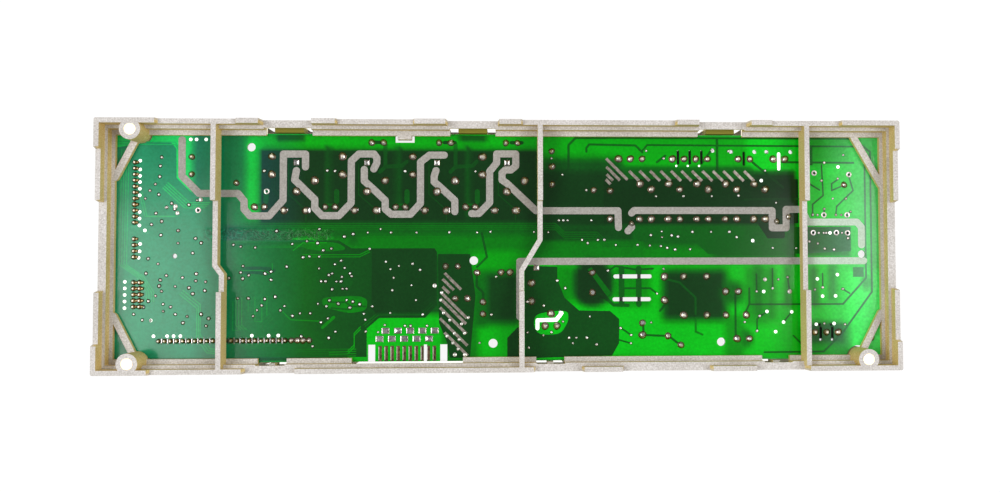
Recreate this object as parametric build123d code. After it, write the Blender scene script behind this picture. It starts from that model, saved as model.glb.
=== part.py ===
from build123d import *
from math import atan2, degrees
import os

# Range control board: a populated circuit board snapped into a stepped moulded frame.
# Frame of reference: X along the length, Y across, +Z towards the solder side.
# The origin is the centre of the front rim, which the object rests on.

# ---------------------------------------------------------------- driving dimensions (mm)

# moulded frame
frame_length = 335.0
frame_width = 105.4
front_depth = 25.8          # front rim to the board's solder side
wall = 2.1                  # outer wall
side_wall = 2.1             # outer wall at the two short ends
high_ledge_width = 1.5      # upper inner step, long walls
low_ledge_width = 2.1       # lower inner step, long walls
side_high_ledge_width = 1.2
side_low_ledge_width = 1.5
low_ledge_rise = 2.3        # heights above the board's solder side
high_ledge_rise = 7.0
mid_rim_rise = 11.6
tall_rim_rise = 14.2
rim_ramp = 0.7              # run of the slope between two rim heights
corner_radius = 0.8

# cross ribs and corner braces
rib_width = 2.1
rib_low_half_span = 19.0    # the ribs drop to the high ledge this far either side of the middle
left_rib_x = -119.9
left_rib_shift = 2.8        # sideways step of the left rib
left_rib_shift_y = (-8.0, -11.8)
middle_rib_x = 15.3
middle_rib_shift = -7.8
middle_rib_shift_y = (2.6, -10.4)
right_rib_x = 128.4
brace_width = 2.8
brace_rise_side = 18.0      # brace foot on the short wall, measured from the ledge corner
brace_run_top = 12.3        # brace foot on the long wall, at the corner with no boss

# screw bosses at three of the four corners
boss_radius = 4.3
boss_bore_radius = 2.3
boss_inset_x = 14.5         # boss centre to the frame's outer faces
boss_inset_y = 4.7

# snap hooks, each in a window through the ledges, and the locating tab
top_hook_x = (-90.5, -13.2, 93.1)
top_hook_window = 19.4
top_hook_width = 12.2
top_hook_reach = 3.2
bottom_hook_x = (-97.0, 19.7, 116.5)
bottom_hook_window = 12.0
bottom_hook_width = 2.6
bottom_hook_reach = 1.8
hook_height = 5.2
hook_nose = 0.8
window_relief = 0.5         # the high ledge is this much narrower beside a hook
window_bridge = 1.4         # thickness of the high ledge where it spans a window
tab_x = -42.1
tab_width = 5.9
tab_reach = 1.6

# circuit board
board_thickness = 1.6
board_gap_upper = 2.7       # board edge to the long wall with the wide hooks
board_gap_lower = 1.9       # board edge to the long wall with the narrow hooks
board_gap_side = 1.1        # board edge to the short walls
board_corner = 1.0
boss_clearance = 0.7
tab_clearance = 1.1
hook_clearance = 0.3
lead_hole_clearance = 0.22
pin_stub = 1.3              # lead length left standing above the solder side
lead_root = 1.0             # how far a lead runs up inside its part
pin_size = 0.64
tab_pin_size = 0.9
relay_pin_size = 1.1
small_hole_sides = 12       # empty holes, thin rods and their like are many-sided
joint_sides = 8             # corners of the printed line and the clear rings in it

# ---------------------------------------------------------------- derived heights and edges

board_back = front_depth
board_front = board_back - board_thickness
low_ledge_top = board_back + low_ledge_rise
high_ledge_top = board_back + high_ledge_rise
mid_rim_top = board_back + mid_rim_rise
tall_rim_top = board_back + tall_rim_rise

half_length = frame_length / 2
half_width = frame_width / 2
inner_half_length = half_length - side_wall
inner_half_width = half_width - wall
high_half_length = inner_half_length - side_high_ledge_width
high_half_width = inner_half_width - high_ledge_width
low_half_length = high_half_length - side_low_ledge_width
low_half_width = high_half_width - low_ledge_width

left = board_gap_side - inner_half_length       # the board's four edges
right = inner_half_length - board_gap_side
upper = inner_half_width - board_gap_upper
lower = board_gap_lower - inner_half_width

boss_x = half_length - boss_inset_x
boss_y = half_width - boss_inset_y
boss_points = [(-boss_x, boss_y), (-boss_x, -boss_y), (boss_x, -boss_y)]

# ---------------------------------------------------------------- parts: sizes, and places
# Places are measured from the nearest edge of the board, or from its middle line.

# edge connector on the lower edge
edge_window_x = (-64.0, -17.3)
edge_slot_x = (-55.9, -25.5)
edge_slot_width = 3.0
edge_slot_depth = 7.1
finger_count = 10
finger_pitch = 2.54
finger_first_x = -52.3
finger_width = 1.4
finger_length = 6.4
finger_setback = 0.2
key_slot_width = 1.35
fingers_past_key = 2        # fingers to the right of the keying slot
key_slot_x = finger_first_x + (finger_count - fingers_past_key - 0.5) * finger_pitch
plating = 0.1

# printed isolation line
line_width = 3.0
ink = 0.12
ink_clearance = 0.5

# power relays: four in a row, each with two coil and four contact leads
power_relay_count = 4
power_relay_pitch = 29.7
power_relay_size = (22.6, 28.4, 20.0)
power_relay_center = (-89.3, upper - 20.9)
power_relay_leads = [(-3.7, -11.7), (5.45, -11.7), (-8.9, 11.3), (-8.9, 3.65), (1.45, -3.6),
                     (9.1, 1.05)]
power_relay_base_height = 3.2
power_relay_base_lip = 0.3  # the base stands out this far all round the cover
power_relay_corner = 1.0

# slim relays: five side by side
slim_relay_count = 5
slim_relay_pitch = 12.4
slim_relay_size = (10.4, 24.2, 15.6)
slim_relay_center = (60.9, upper - 25.7)
slim_relay_leads = [(-2.54, -10.55), (2.54, -10.55), (2.54, 2.25), (-2.25, 4.65)]

# corners of moulded packages
package_corner = 0.6
package_chamfer = 0.4
small_corner = 0.4

# film capacitors across the relay contacts
snubber_centers = [(x, upper - 3.6) for x in (-53.7, -25.1, 3.4)]
snubber_size = (7.2, 4.8, 9.5)
snubber_lead_span = 5.0

# diodes standing beside the power relays
flyback_offset = (-16.1, -10.2)
flyback_lead_span = 4.1
flyback_radius = 1.35
flyback_length = 5.0
flyback_standoff = 0.5
flyback_loop = 2.0          # the bent lead's turn below the body
diode_lead = 0.7

# plug-in headers with a 5 mm pitch: name, first lead, number of ways
header_pitch = 5.08
header_depth = 6.6
header_height = 14.0
header_overhang = 1.3
header_offset = 0.4         # shroud centre to the row of blades
header_wall = 1.0
header_floor = 2.0
header_notch = (1.2, 5.0)   # keying notch: width and depth from the mouth
load_header_y = upper - 10.3
header_list = [("load_header_four_way", (72.7, load_header_y), 4),
               ("load_header_three_way", (49.4, load_header_y), 3),
               ("load_header_left", (101.4, load_header_y), 2),
               ("load_header_right", (116.7, load_header_y), 2),
               ("supply_header", (right - 30.1, lower + 11.4), 3)]

# pin strips: name, first pin, pins along the strip, pitch, step direction, rows
strip_pitch = 2.54
strip_width = 2.5
strip_height = 2.5
strip_pin_length = 6.0
strip_x = left + 9.1
keypad_pitch = 2.5
strip_list = [("display_header", (strip_x, upper - 12.3), 11, strip_pitch, (0, -1), 1),
              ("key_header", (strip_x, upper - 44.6), 4, strip_pitch, (0, -1), 1),
              ("program_header", (strip_x, upper - 62.9), 5, strip_pitch, (0, -1), 2),
              ("keypad_header", (left + 19.7, lower + 9.1), 26, keypad_pitch, (1, 0), 1)]

# switching transformer
transformer_center = (82.2, lower + 27.3)
core_length = 20.0
core_leg = 5.9
core_yoke = 3.0
coil_former_wall = 0.6
coil_former_clearance = 0.1
flange_thickness = 0.8
winding_size = 13.6
winding_clearance = 0.3     # flanges to the core's outer legs
winding_standoff = 0.35     # flanges to the board
winding_gap = 0.2           # winding to the edge of its flanges
winding_corner = 2.5
winding_end_gap = 0.05
pin_rail_depth = 4.0
pin_rail_inset = 0.6
pin_rail_setback = 1.7      # pin rows to the ends of the core
transformer_pin_x = (-5.0, 5.0)
core_outer_leg = (core_length - winding_size) / 2 - winding_clearance
pin_rail_height = winding_size / 2 + winding_standoff - core_leg / 2 - coil_former_clearance
transformer_pin_row = core_length / 2 - pin_rail_setback

# round cans: name, centre, radius, height, lead span, angle of the leads
output_capacitor_radius = 5.0
output_capacitor_gap = 1.0  # the first output capacitor to the transformer's core
output_capacitor_x = (transformer_center[0] + core_length / 2 + output_capacitor_gap
                      + output_capacitor_radius)
can_list = [("bulk_capacitor", (37.9, lower + 33.1), 9.0, 21.0, 8.5, 90),
            ("output_capacitor_1", (output_capacitor_x, lower + 29.1), output_capacitor_radius,
             16.0, 5.5, 0),
            ("output_capacitor_2", (102.9, lower + 8.8), output_capacitor_radius, 12.5, 5.4, 0),
            ("output_capacitor_3", (59.3, lower + 13.2), 4.0, 11.5, 5.1, 90)]
can_bung = (0.7, 1.6)       # the rubber bung's setback from the can, and its height
can_root = 2.0              # lead length inside a can, past its bung

# other parts on the supply side
film_capacitor_size = (5.4, 13.0, 11.0)
film_capacitor_gap = 0.6    # to the transformer's core
film_capacitor_center = (transformer_center[0] - core_length / 2 - film_capacitor_gap
                         - film_capacitor_size[0] / 2, lower + 30.5)
film_capacitor_span = 10.1
rectifier_center = (99.9, lower + 18.95)
rectifier_size = (2.2, 6.0)
rectifier_span = 8.8
varistor_center = (11.8, lower + 29.1)
varistor_size = (5.4, 3.8)
varistor_span = 7.8
safety_capacitor_center = (73.1, lower + 8.2)
safety_capacitor_size = (4.4, 3.2)
safety_capacitor_span = 6.8
safety_capacitor_angle = -35
disc_standoff = 1.5
fuse_center = (-8.9, lower + 22.4)
fuse_size = (4.2, 7.7)
fuse_span = 5.1
transistor_center = (20.1, lower + 17.3)
transistor_size = (10.2, 4.5, 9.2)
transistor_tab = (10.2, 1.3, 15.6)
transistor_leads = [(-2.55, -2.65), (2.55, -2.65), (0, 2.65)]
transistor_drop = 3.4       # body to the board, spanned by the cranked leads
transistor_crank = (1.7, 2.6)
transistor_hole = (1.8, 2.8)
buzzer_center = (left + 32.6, upper - 13.6)
buzzer_size = (6.0, 8.5)
buzzer_span = 7.4
buzzer_hole = (1.2, 2.0)    # sound hole: radius and depth

# surface-mounted chips: body length, width, height; legs per side; leg pitch
microcontroller = ((-84.7, -16.8), (14.0, 14.0, 1.6), 11, 1.0)
driver_centers = [(-38.0, upper - 44.7), (-3.0, upper - 44.7)]
driver = ((11.6, 7.4, 2.3), 8, 1.27)
coupler_centers = [(62.4, lower + 42.3), (70.6, lower + 42.3)]
coupler = ((4.6, 6.5, 3.4), 2, 2.54)
leg_width = 0.42
leg_reach = 1.0
leg_thickness = 0.2
crystal_center = (-106.0, -10.0)
crystal_size = (11.2, 4.6, 4.0)
crystal_corner = 2.2

# sleeved links that bridge the two ventilation slots
link_x = (50.4, 58.2)
link_radius = 0.75
link_span = (lower + 40.1, lower + 21.5)

# holes with nothing in them: x, y, radius
free_holes = [(-106.9, upper - 5.7, 1.8), (-12.8, lower + 42.6, 1.8), (-4.6, lower + 7.4, 1.9),
              (93.3, lower + 7.5, 1.8), (right - 9.1, -3.6, 1.7), (left + 25.9, -3.9, 1.0),
              (90.3, upper - 6.6, 0.9), (98.3, upper - 7.1, 0.9), (108.6, upper - 7.1, 0.9),
              (113.9, upper - 7.1, 0.9), (124.4, upper - 7.1, 0.9), (right - 28.1, lower + 14.7, 0.6),
              (right - 23.1, lower + 14.7, 0.6)]
slot_width = 1.2
header_slots = [(75.2, upper - 9.6), (80.3, upper - 9.6), (85.4, upper - 9.6), (103.9, upper - 10.1),
                (119.2, upper - 10.5), (right - 27.6, lower + 10.7), (right - 22.5, lower + 10.7)]
header_slot_length = 6.2
vent_slots = [(55.2, lower + 35.7), (54.8, lower + 25.9)]
vent_slot_width = 1.7
vent_slot_length = 16.6
creepage_slot = [(24.0, lower + 20.5), (24.0, lower + 19.1), (22.4, lower + 17.5), (15.6, lower + 17.5),
                 (14.3, lower + 16.2), (14.3, lower + 13.4)]

# tinned copper left bare of solder mask: 45 degree bars (start x, start y, run in x)
bar_width = 1.2
bars = [(44.0, upper - 10.2, 9.2), (44.1, upper - 13.8, 5.8), (44.2, upper - 17.0, 2.7),
        (43.8, upper - 19.2, 2.1), (-25.2, lower + 37.3, 7.0), (-26.0, lower + 34.8, 4.7),
        (-26.0, lower + 31.5, 2.8), (-26.7, lower + 29.1, 10.9), (-26.9, lower + 26.5, 10.8),
        (-27.1, lower + 22.7, 11.2), (-27.1, lower + 18.1, 11.6), (-25.2, lower + 12.1, 9.8)]
bar_row = (53.9, upper - 15.5, 4.3)
bar_row_count = 12
bar_row_pitch = 4.55
test_pad_size = (3.25, 2.5)
test_pad_rows = [(-50.1, lower + 12.95), (-52.6, lower + 9.55)]
test_pad_count = 5
test_pad_pitch = 5.2

# ---------------------------------------------------------------- small helpers

def slab(x0, x1, y0, y1, z0, z1):
    """A box between two corners."""
    return Pos((x0 + x1) / 2, (y0 + y1) / 2, (z0 + z1) / 2) * Box(x1 - x0, y1 - y0, z1 - z0)


def band(points, width):
    """A flat strip with round ends and joints that follows a line of points."""
    strip = Sketch()
    for start, end in zip(points, points[1:]):
        run = Vector(*end) - Vector(*start)
        middle = (Vector(*end) + Vector(*start)) * 0.5
        slot = SlotCenterToCenter(run.length, width, rotation=degrees(atan2(run.Y, run.X)))
        strip += Pos(middle.X, middle.Y) * slot
    return strip


def straight_strip(start, end, width):
    """A flat rectangular bar between two points."""
    run = Vector(*end) - Vector(*start)
    middle = (Vector(*end) + Vector(*start)) * 0.5
    bar = Rectangle(run.length, width, rotation=degrees(atan2(run.Y, run.X)))
    return Pos(middle.X, middle.Y) * bar


def faceted_strip(points, width):
    """A flat strip with many-sided joints and ends that follows a bent line."""
    strip = Sketch() + [Pos(x, y) * RegularPolygon(width / 2, joint_sides) for x, y in points]
    for start, end in zip(points, points[1:]):
        strip += straight_strip(start, end, width)
    return strip


def rod(radius, length):
    """A small upright rod about its middle, many-sided to keep it light."""
    return extrude(RegularPolygon(radius, small_hole_sides), length / 2, both=True)


def save(name, shape):
    shape.label = name
    export_step(shape, f"parts/{name}.step")


# ---------------------------------------------------------------- moulded frame

def rim_outline(steps, end, slope=rim_ramp):
    """Side view of one wall: steps are (start, height) pairs running to the wall's end."""
    points = [(steps[0][0], 0), (steps[0][0], steps[0][1])]
    for (_, before), (start, after) in zip(steps, steps[1:]):
        points.append((start - slope / 2, before))
        points.append((start + slope / 2, after))
    points.append((end, steps[-1][1]))
    points.append((end, 0))
    return make_face(Polyline(points, close=True))


def long_wall(steps, side):
    outline = Plane.XZ * rim_outline(steps, half_length)
    panel = extrude(outline, wall, dir=(0, 1, 0))
    shift = inner_half_width if side > 0 else -half_width
    return Pos(0, shift, 0) * panel


def short_wall(steps, side):
    outline = Plane.YZ * rim_outline(steps, half_width)
    panel = extrude(outline, side_wall, dir=(1, 0, 0))
    shift = inner_half_length if side > 0 else -half_length
    return Pos(shift, 0, 0) * panel


def ledge_ring(outer, inner, top):
    """A step that runs all round, from outer to inner half sizes."""
    ring = Rectangle(2 * outer[0], 2 * outer[1]) - Rectangle(2 * inner[0], 2 * inner[1])
    return Pos(0, 0, board_back) * extrude(ring, top - board_back)


def rib(points):
    """A tall thin rib that dips to the high ledge in the middle of the board."""
    plan = band(points, rib_width)
    body = Pos(0, 0, low_ledge_top) * extrude(plan, mid_rim_top - low_ledge_top)
    body -= slab(-half_length, half_length, -rib_low_half_span, rib_low_half_span,
                 high_ledge_top, tall_rim_top)
    return body & slab(-half_length, half_length, -inner_half_width, inner_half_width,
                       0, tall_rim_top)


def stepped_rib(x, shift, shift_y):
    top = (x, inner_half_width + wall / 2)
    foot = (x + shift, -inner_half_width - wall / 2)
    return rib([top, (x, shift_y[0]), (x + shift, shift_y[1]), foot])


def brace(start, end):
    plan = band([start, end], brace_width)
    body = Pos(0, 0, board_back) * extrude(plan, low_ledge_rise)
    return body & slab(-high_half_length, high_half_length, -high_half_width, high_half_width,
                       board_back, low_ledge_top)


def hook(x, side, width, reach):
    """A rigid pad on the long wall whose sloped nose catches the board's component side."""
    root = inner_half_width
    edge = upper if side > 0 else -lower
    face = edge + hook_clearance
    tip = edge - reach
    nose_top = board_front
    profile = Polyline([(root, low_ledge_top), (face, low_ledge_top), (face, nose_top),
                        (tip, nose_top), (tip, nose_top - hook_nose),
                        (face, nose_top - hook_height), (root, nose_top - hook_height)],
                       close=True)
    solid = extrude(Plane.YZ * make_face(profile), width / 2, both=True, dir=(1, 0, 0))
    if side < 0:
        solid = mirror(solid, Plane.XZ)
    return Pos(x, 0, 0) * solid


def ledge_window(x0, x1, side, relief=0.0):
    """A cut through the low ledge and up under the high one, which spans it as a thin bridge."""
    start = low_half_width - wall
    window = slab(x0, x1, start, inner_half_width, board_front, high_ledge_top - window_bridge)
    window += slab(x0, x1, start, high_half_width + relief, board_front, high_ledge_top)
    return window if side > 0 else mirror(window, Plane.XZ)


def housing_frame():
    tall, mid, low = tall_rim_top, mid_rim_top, high_ledge_top
    top_steps = [(-half_length, tall), (-142.8, mid), (-110.5, tall), (-100.8, low),
                 (-79.8, tall), (-69.4, mid), (-37.4, tall), (-23.9, low), (-2.1, tall),
                 (7.6, mid), (72.5, tall), (82.5, low), (103.9, tall), (113.4, mid),
                 (142.6, tall)]
    bottom_steps = [(-half_length, tall), (-144.9, mid), (-107.5, low), (-86.4, mid),
                    (12.8, low), (33.2, mid), (49.9, low), (87.4, mid), (106.5, low),
                    (128.0, tall)]
    end_steps = [(-half_width, tall), (-40.4, mid), (-18.7, low), (18.7, mid), (40.4, tall)]

    body = long_wall(top_steps, 1) + long_wall(bottom_steps, -1)
    body += short_wall(end_steps, 1) + short_wall(end_steps, -1)
    body = fillet(body.edges().filter_by(Axis.Z).group_by(
        lambda edge: round(abs(edge.center().X) + abs(edge.center().Y), 1))[-1], corner_radius)
    body += ledge_ring((inner_half_length + side_wall / 2, inner_half_width + wall / 2),
                       (high_half_length, high_half_width), high_ledge_top)
    body += ledge_ring((high_half_length, high_half_width),
                       (low_half_length, low_half_width), low_ledge_top)
    for x in top_hook_x:
        body -= ledge_window(x - top_hook_window / 2, x + top_hook_window / 2, 1, window_relief)
    for x in bottom_hook_x:
        body -= ledge_window(x - bottom_hook_window / 2, x + bottom_hook_window / 2, -1,
                             window_relief)
    body -= ledge_window(*edge_window_x, -1)

    body += stepped_rib(left_rib_x, left_rib_shift, left_rib_shift_y)
    body += stepped_rib(middle_rib_x, middle_rib_shift, middle_rib_shift_y)
    body += stepped_rib(right_rib_x, 0, (0, -1))

    foot_y = low_half_width - brace_rise_side
    for x, y in boss_points:
        end = (x * low_half_length / abs(x), foot_y * y / abs(y))
        body += brace((x, y), end)
    body += brace((low_half_length - brace_run_top, high_half_width),
                  (low_half_length + side_low_ledge_width / 2, foot_y - brace_width))

    for x in top_hook_x:
        body += hook(x, 1, top_hook_width, top_hook_reach)
    for x in bottom_hook_x:
        body += hook(x, -1, bottom_hook_width, bottom_hook_reach)
    body += slab(tab_x - tab_width / 2, tab_x + tab_width / 2, low_half_width - tab_reach,
                 low_half_width + 1, board_front, low_ledge_top)

    for x, y in boss_points:
        body += Pos(x, y, tall_rim_top / 2) * Cylinder(boss_radius, tall_rim_top)
    for x, y in boss_points:
        body -= Pos(x, y, tall_rim_top / 2) * Cylinder(boss_bore_radius, tall_rim_top)
    return body


# ---------------------------------------------------------------- leads and the parts on the board

def pair(center, span, angle=0.0):
    """Two lead positions a span apart about a centre."""
    reach = Vector(span / 2, 0).rotate(Axis.Z, angle)
    return [(center[0] - reach.X, center[1] - reach.Y), (center[0] + reach.X, center[1] + reach.Y)]


def shifted(points, center):
    return [(center[0] + x, center[1] + y) for x, y in points]


def strip_points(first, count, pitch, step, rows):
    """Pin positions of a strip: rows stack to the left of the step direction."""
    points = []
    for row in range(rows):
        for i in range(count):
            points.append((first[0] + i * pitch * step[0] - row * strip_pitch * step[1],
                           first[1] + i * pitch * step[1] + row * strip_pitch * step[0]))
    return points


def relay_center(center, pitch, index):
    return (center[0] + index * pitch, center[1])


def header_points(first, ways):
    return [(first[0] + i * header_pitch, first[1]) for i in range(ways)]


def transformer_points():
    rows = (-transformer_pin_row, transformer_pin_row)
    return shifted([(x, y) for x in transformer_pin_x for y in rows], transformer_center)


def flyback_points(index):
    x, y = relay_center(power_relay_center, power_relay_pitch, index)
    first = (x + flyback_offset[0], y + flyback_offset[1])
    return [first, (first[0] + flyback_lead_span, first[1])]


def all_leads():
    """Every soldered lead as (x, y, size)."""
    groups = []
    for i in range(power_relay_count):
        center = relay_center(power_relay_center, power_relay_pitch, i)
        groups.append((shifted(power_relay_leads, center), relay_pin_size))
        groups.append((flyback_points(i), diode_lead))
    for i in range(slim_relay_count):
        center = relay_center(slim_relay_center, slim_relay_pitch, i)
        groups.append((shifted(slim_relay_leads, center), tab_pin_size))
    for center in snubber_centers:
        groups.append((pair(center, snubber_lead_span), pin_size))
    for _, first, ways in header_list:
        groups.append((header_points(first, ways), tab_pin_size))
    for _, first, count, pitch, step, rows in strip_list:
        groups.append((strip_points(first, count, pitch, step, rows), pin_size))
    for _, center, _, _, span, angle in can_list:
        groups.append((pair(center, span, angle), tab_pin_size))
    groups.append((transformer_points(), tab_pin_size))
    groups.append((pair(film_capacitor_center, film_capacitor_span, 90), tab_pin_size))
    groups.append((pair(rectifier_center, rectifier_span), tab_pin_size))
    groups.append((pair(varistor_center, varistor_span, 90), tab_pin_size))
    groups.append((pair(safety_capacitor_center, safety_capacitor_span, safety_capacitor_angle),
                   tab_pin_size))
    groups.append((pair(fuse_center, fuse_span, 90), pin_size))
    groups.append((shifted(transistor_leads, transistor_center), tab_pin_size))
    groups.append((pair(buzzer_center, buzzer_span, 90), pin_size))
    return [(x, y, size) for points, size in groups for x, y in points]


def lead_hole_size(size):
    """Lead holes are square, to keep a board with this many of them light."""
    return size + lead_hole_clearance


def leads(points, size, root):
    """Square leads from inside a part, through the board, to their stubs."""
    pins = Part()
    for x, y in points:
        pins += slab(x - size / 2, x + size / 2, y - size / 2, y + size / 2,
                     board_front - root, board_back + pin_stub)
    return pins


def block(center, size, corner, drop=0.0):
    """A box with bevelled corners that hangs under the board's component side."""
    body = chamfer(Box(*size).edges().filter_by(Axis.Z), corner)
    return Pos(center[0], center[1], board_front - drop - size[2] / 2) * body


def can(center, radius, height, drop=0.0):
    return Pos(center[0], center[1], board_front - drop - height / 2) * Cylinder(radius, height)


def power_relay(center):
    """A sealed relay: a cover over a slightly wider base."""
    length, width, height = power_relay_size
    base = Pos(center[0], center[1], board_front - power_relay_base_height / 2) \
        * Box(length, width, power_relay_base_height)
    cover = block(center, (length - 2 * power_relay_base_lip, width - 2 * power_relay_base_lip,
                           height - power_relay_base_height),
                  power_relay_corner, power_relay_base_height)
    cover = chamfer(cover.faces().sort_by(Axis.Z)[0].edges(), package_chamfer)
    return base + cover + leads(shifted(power_relay_leads, center), relay_pin_size, lead_root)


def slim_relay(center):
    body = block(center, slim_relay_size, package_corner)
    body = chamfer(body.faces().sort_by(Axis.Z)[0].edges(), package_chamfer)
    return body + leads(shifted(slim_relay_leads, center), tab_pin_size, lead_root)


def snubber_capacitor(center):
    body = block(center, snubber_size, small_corner)
    return body + leads(pair(center, snubber_lead_span), pin_size, lead_root)


def flyback_diode(index):
    """A diode standing on one lead, with the other bent back down beside it."""
    body_lead, bent_lead = flyback_points(index)
    reach = flyback_standoff + flyback_length + flyback_loop
    half = diode_lead / 2
    middle = board_front - flyback_standoff - flyback_length / 2
    body = Pos(body_lead[0], body_lead[1], middle) * rod(flyback_radius, flyback_length)
    loop = leads([body_lead, bent_lead], diode_lead, reach)
    loop += slab(body_lead[0] - half, bent_lead[0] + half, body_lead[1] - half,
                 body_lead[1] + half, board_front - reach, board_front - reach + diode_lead)
    return body + loop


def plug_header(first, ways):
    """An open-fronted shroud with one blade per way and keying notches between the ways."""
    points = header_points(first, ways)
    width = (ways - 1) * header_pitch + 2 * header_overhang
    center = ((points[0][0] + points[-1][0]) / 2, first[1] + header_offset)
    body = block(center, (width, header_depth, header_height), small_corner)
    body -= block(center, (width - 2 * header_wall, header_depth - 2 * header_wall,
                           header_height), small_corner, header_floor)
    mouth = board_front - header_height
    notch_width, notch_depth = header_notch
    for x, _ in points[:-1]:
        notch = x + header_pitch / 2
        body -= slab(notch - notch_width / 2, notch + notch_width / 2, center[1],
                     center[1] + header_depth, mouth, mouth + notch_depth)
    return body + leads(points, tab_pin_size, header_height - header_floor)


def pin_strip(first, count, pitch, step, rows):
    points = strip_points(first, count, pitch, step, rows)
    xs = [x for x, _ in points]
    ys = [y for _, y in points]
    margin = strip_width / 2
    body = slab(min(xs) - margin, max(xs) + margin, min(ys) - margin, max(ys) + margin,
                board_front - strip_height, board_front)
    return body + leads(points, pin_size, strip_height + strip_pin_length)


def round_can(center, radius, height, span, angle):
    """An electrolytic capacitor: a can on the narrower rubber bung that its leads go through."""
    setback, bung_height = can_bung
    body = can(center, radius - setback, bung_height)
    body += can(center, radius, height - bung_height, bung_height)
    return body + leads(pair(center, span, angle), tab_pin_size, can_root)


def disc_part(center, size, span, angle):
    """A dipped disc standing on edge on its two leads."""
    radius, thickness = size
    disc = Rot(90, 0, 0) * Cylinder(radius, thickness)
    disc = Pos(center[0], center[1], board_front - disc_standoff - radius) * Rot(0, 0, angle) * disc
    return disc + leads(pair(center, span, angle), tab_pin_size, disc_standoff + radius)


def transformer():
    """Ferrite core, coil former with its pin rails, and the taped winding."""
    x, y = transformer_center
    half = core_length / 2
    window_reach = half - core_outer_leg
    window_half = half - core_yoke
    tube_half = core_leg / 2 + coil_former_clearance + coil_former_wall
    flange_outer = window_half - coil_former_clearance
    flange_inner = flange_outer - flange_thickness
    middle = board_front - pin_rail_height - core_leg / 2 - coil_former_clearance
    place = Pos(x, y, middle)

    core = Box(core_length, core_length, core_leg)
    for side in (-1, 1):
        core -= Pos(side * (window_reach + core_leg / 2) / 2, 0, 0) \
            * Box(window_reach - core_leg / 2, 2 * window_half, core_leg + 1)

    former = Box(2 * tube_half, 2 * flange_outer, 2 * tube_half)
    for side in (-1, 1):
        former += Pos(0, side * (flange_inner + flange_outer) / 2, 0) \
            * Box(winding_size, flange_thickness, winding_size)
        rail_top = board_front - middle
        rail_reach = half - pin_rail_inset
        former += slab(-rail_reach, rail_reach, side * transformer_pin_row - pin_rail_depth / 2,
                       side * transformer_pin_row + pin_rail_depth / 2,
                       rail_top - pin_rail_height, rail_top)
        former += slab(-winding_size / 2, winding_size / 2,
                       min(side * flange_inner, side * transformer_pin_row),
                       max(side * flange_inner, side * transformer_pin_row),
                       rail_top - pin_rail_height, rail_top)
    bore = core_leg + 2 * coil_former_clearance
    former -= Box(bore, core_length, bore)
    former = place * former + leads(transformer_points(), tab_pin_size, lead_root)

    across = winding_size - 2 * winding_gap
    winding = extrude(Plane.XZ * RectangleRounded(across, across, winding_corner),
                      flange_inner - winding_end_gap, both=True)
    winding -= Box(2 * tube_half, core_length, 2 * tube_half)
    return place * core, former, place * winding


def film_capacitor():
    body = block(film_capacitor_center, film_capacitor_size, small_corner)
    return body + leads(pair(film_capacitor_center, film_capacitor_span, 90), tab_pin_size, lead_root)


def rectifier():
    """An axial diode lying flat, its leads bent straight up into the board."""
    radius, length = rectifier_size
    x, y = rectifier_center
    level = board_front - radius
    body = Pos(x, y, level) * Rot(0, 90, 0) * rod(radius, length)
    wire = slab(x - rectifier_span / 2 - tab_pin_size / 2, x + rectifier_span / 2 + tab_pin_size / 2,
                y - tab_pin_size / 2, y + tab_pin_size / 2,
                level - tab_pin_size / 2, level + tab_pin_size / 2)
    return body + wire + leads(pair(rectifier_center, rectifier_span), tab_pin_size, radius)


def fuse():
    body = can(fuse_center, fuse_size[0], fuse_size[1])
    body = chamfer(body.faces().sort_by(Axis.Z)[0].edges(), package_chamfer)
    return body + leads(pair(fuse_center, fuse_span, 90), pin_size, lead_root)


def switching_transistor():
    """A tab-mounted transistor upright on staggered leads."""
    x, y = transistor_center
    half = tab_pin_size / 2
    drop = transistor_drop
    crank_top, crank_bottom = (board_front - level for level in transistor_crank)
    hole_radius, hole_inset = transistor_hole
    back = y + transistor_size[1] / 2
    tab = block((x, back - transistor_tab[1] / 2), transistor_tab, small_corner, drop)
    tab -= Pos(x, back, board_front - drop - transistor_tab[2] + hole_inset) \
        * Rot(90, 0, 0) * rod(hole_radius, 2 * transistor_size[1])
    body = block(transistor_center, transistor_size, small_corner, drop)
    feet = leads(shifted(transistor_leads, transistor_center), tab_pin_size, transistor_crank[1])
    for px, py in transistor_leads:
        feet += slab(x + px - half, x + px + half, min(y, y + py) - half, max(y, y + py) + half,
                     crank_bottom, crank_top)
        feet += slab(x + px - half, x + px + half, y - half, y + half,
                     board_front - drop - lead_root, crank_top)
    return body + tab + feet


def buzzer():
    body = can(buzzer_center, buzzer_size[0], buzzer_size[1])
    hole_radius, hole_depth = buzzer_hole
    body -= Pos(buzzer_center[0], buzzer_center[1], board_front - buzzer_size[1]) \
        * rod(hole_radius, 2 * hole_depth)
    return body + leads(pair(buzzer_center, buzzer_span, 90), pin_size, lead_root)


def chip(center, size, legs, pitch, four_sided=False):
    """A flat package with flat legs lying on the board's component side."""
    x, y = center
    body = block(center, size, package_corner)
    body = chamfer(body.faces().sort_by(Axis.Z)[0].edges(), package_chamfer)
    top = board_front
    for i in range(legs):
        along = (i - (legs - 1) / 2) * pitch
        reach = size[1] / 2 + leg_reach
        body += slab(x + along - leg_width / 2, x + along + leg_width / 2, y - reach, y + reach,
                     top - leg_thickness, top)
        if four_sided:
            reach = size[0] / 2 + leg_reach
            body += slab(x - reach, x + reach, y + along - leg_width / 2,
                         y + along + leg_width / 2, top - leg_thickness, top)
    return body


def jumper_link(x):
    """A sleeved wire lying against the component side."""
    start, end = link_span
    return Pos(x, (start + end) / 2, board_front - link_radius) \
        * Rot(90, 0, 0) * rod(link_radius, start - end)


# ---------------------------------------------------------------- circuit board and its copper

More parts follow.
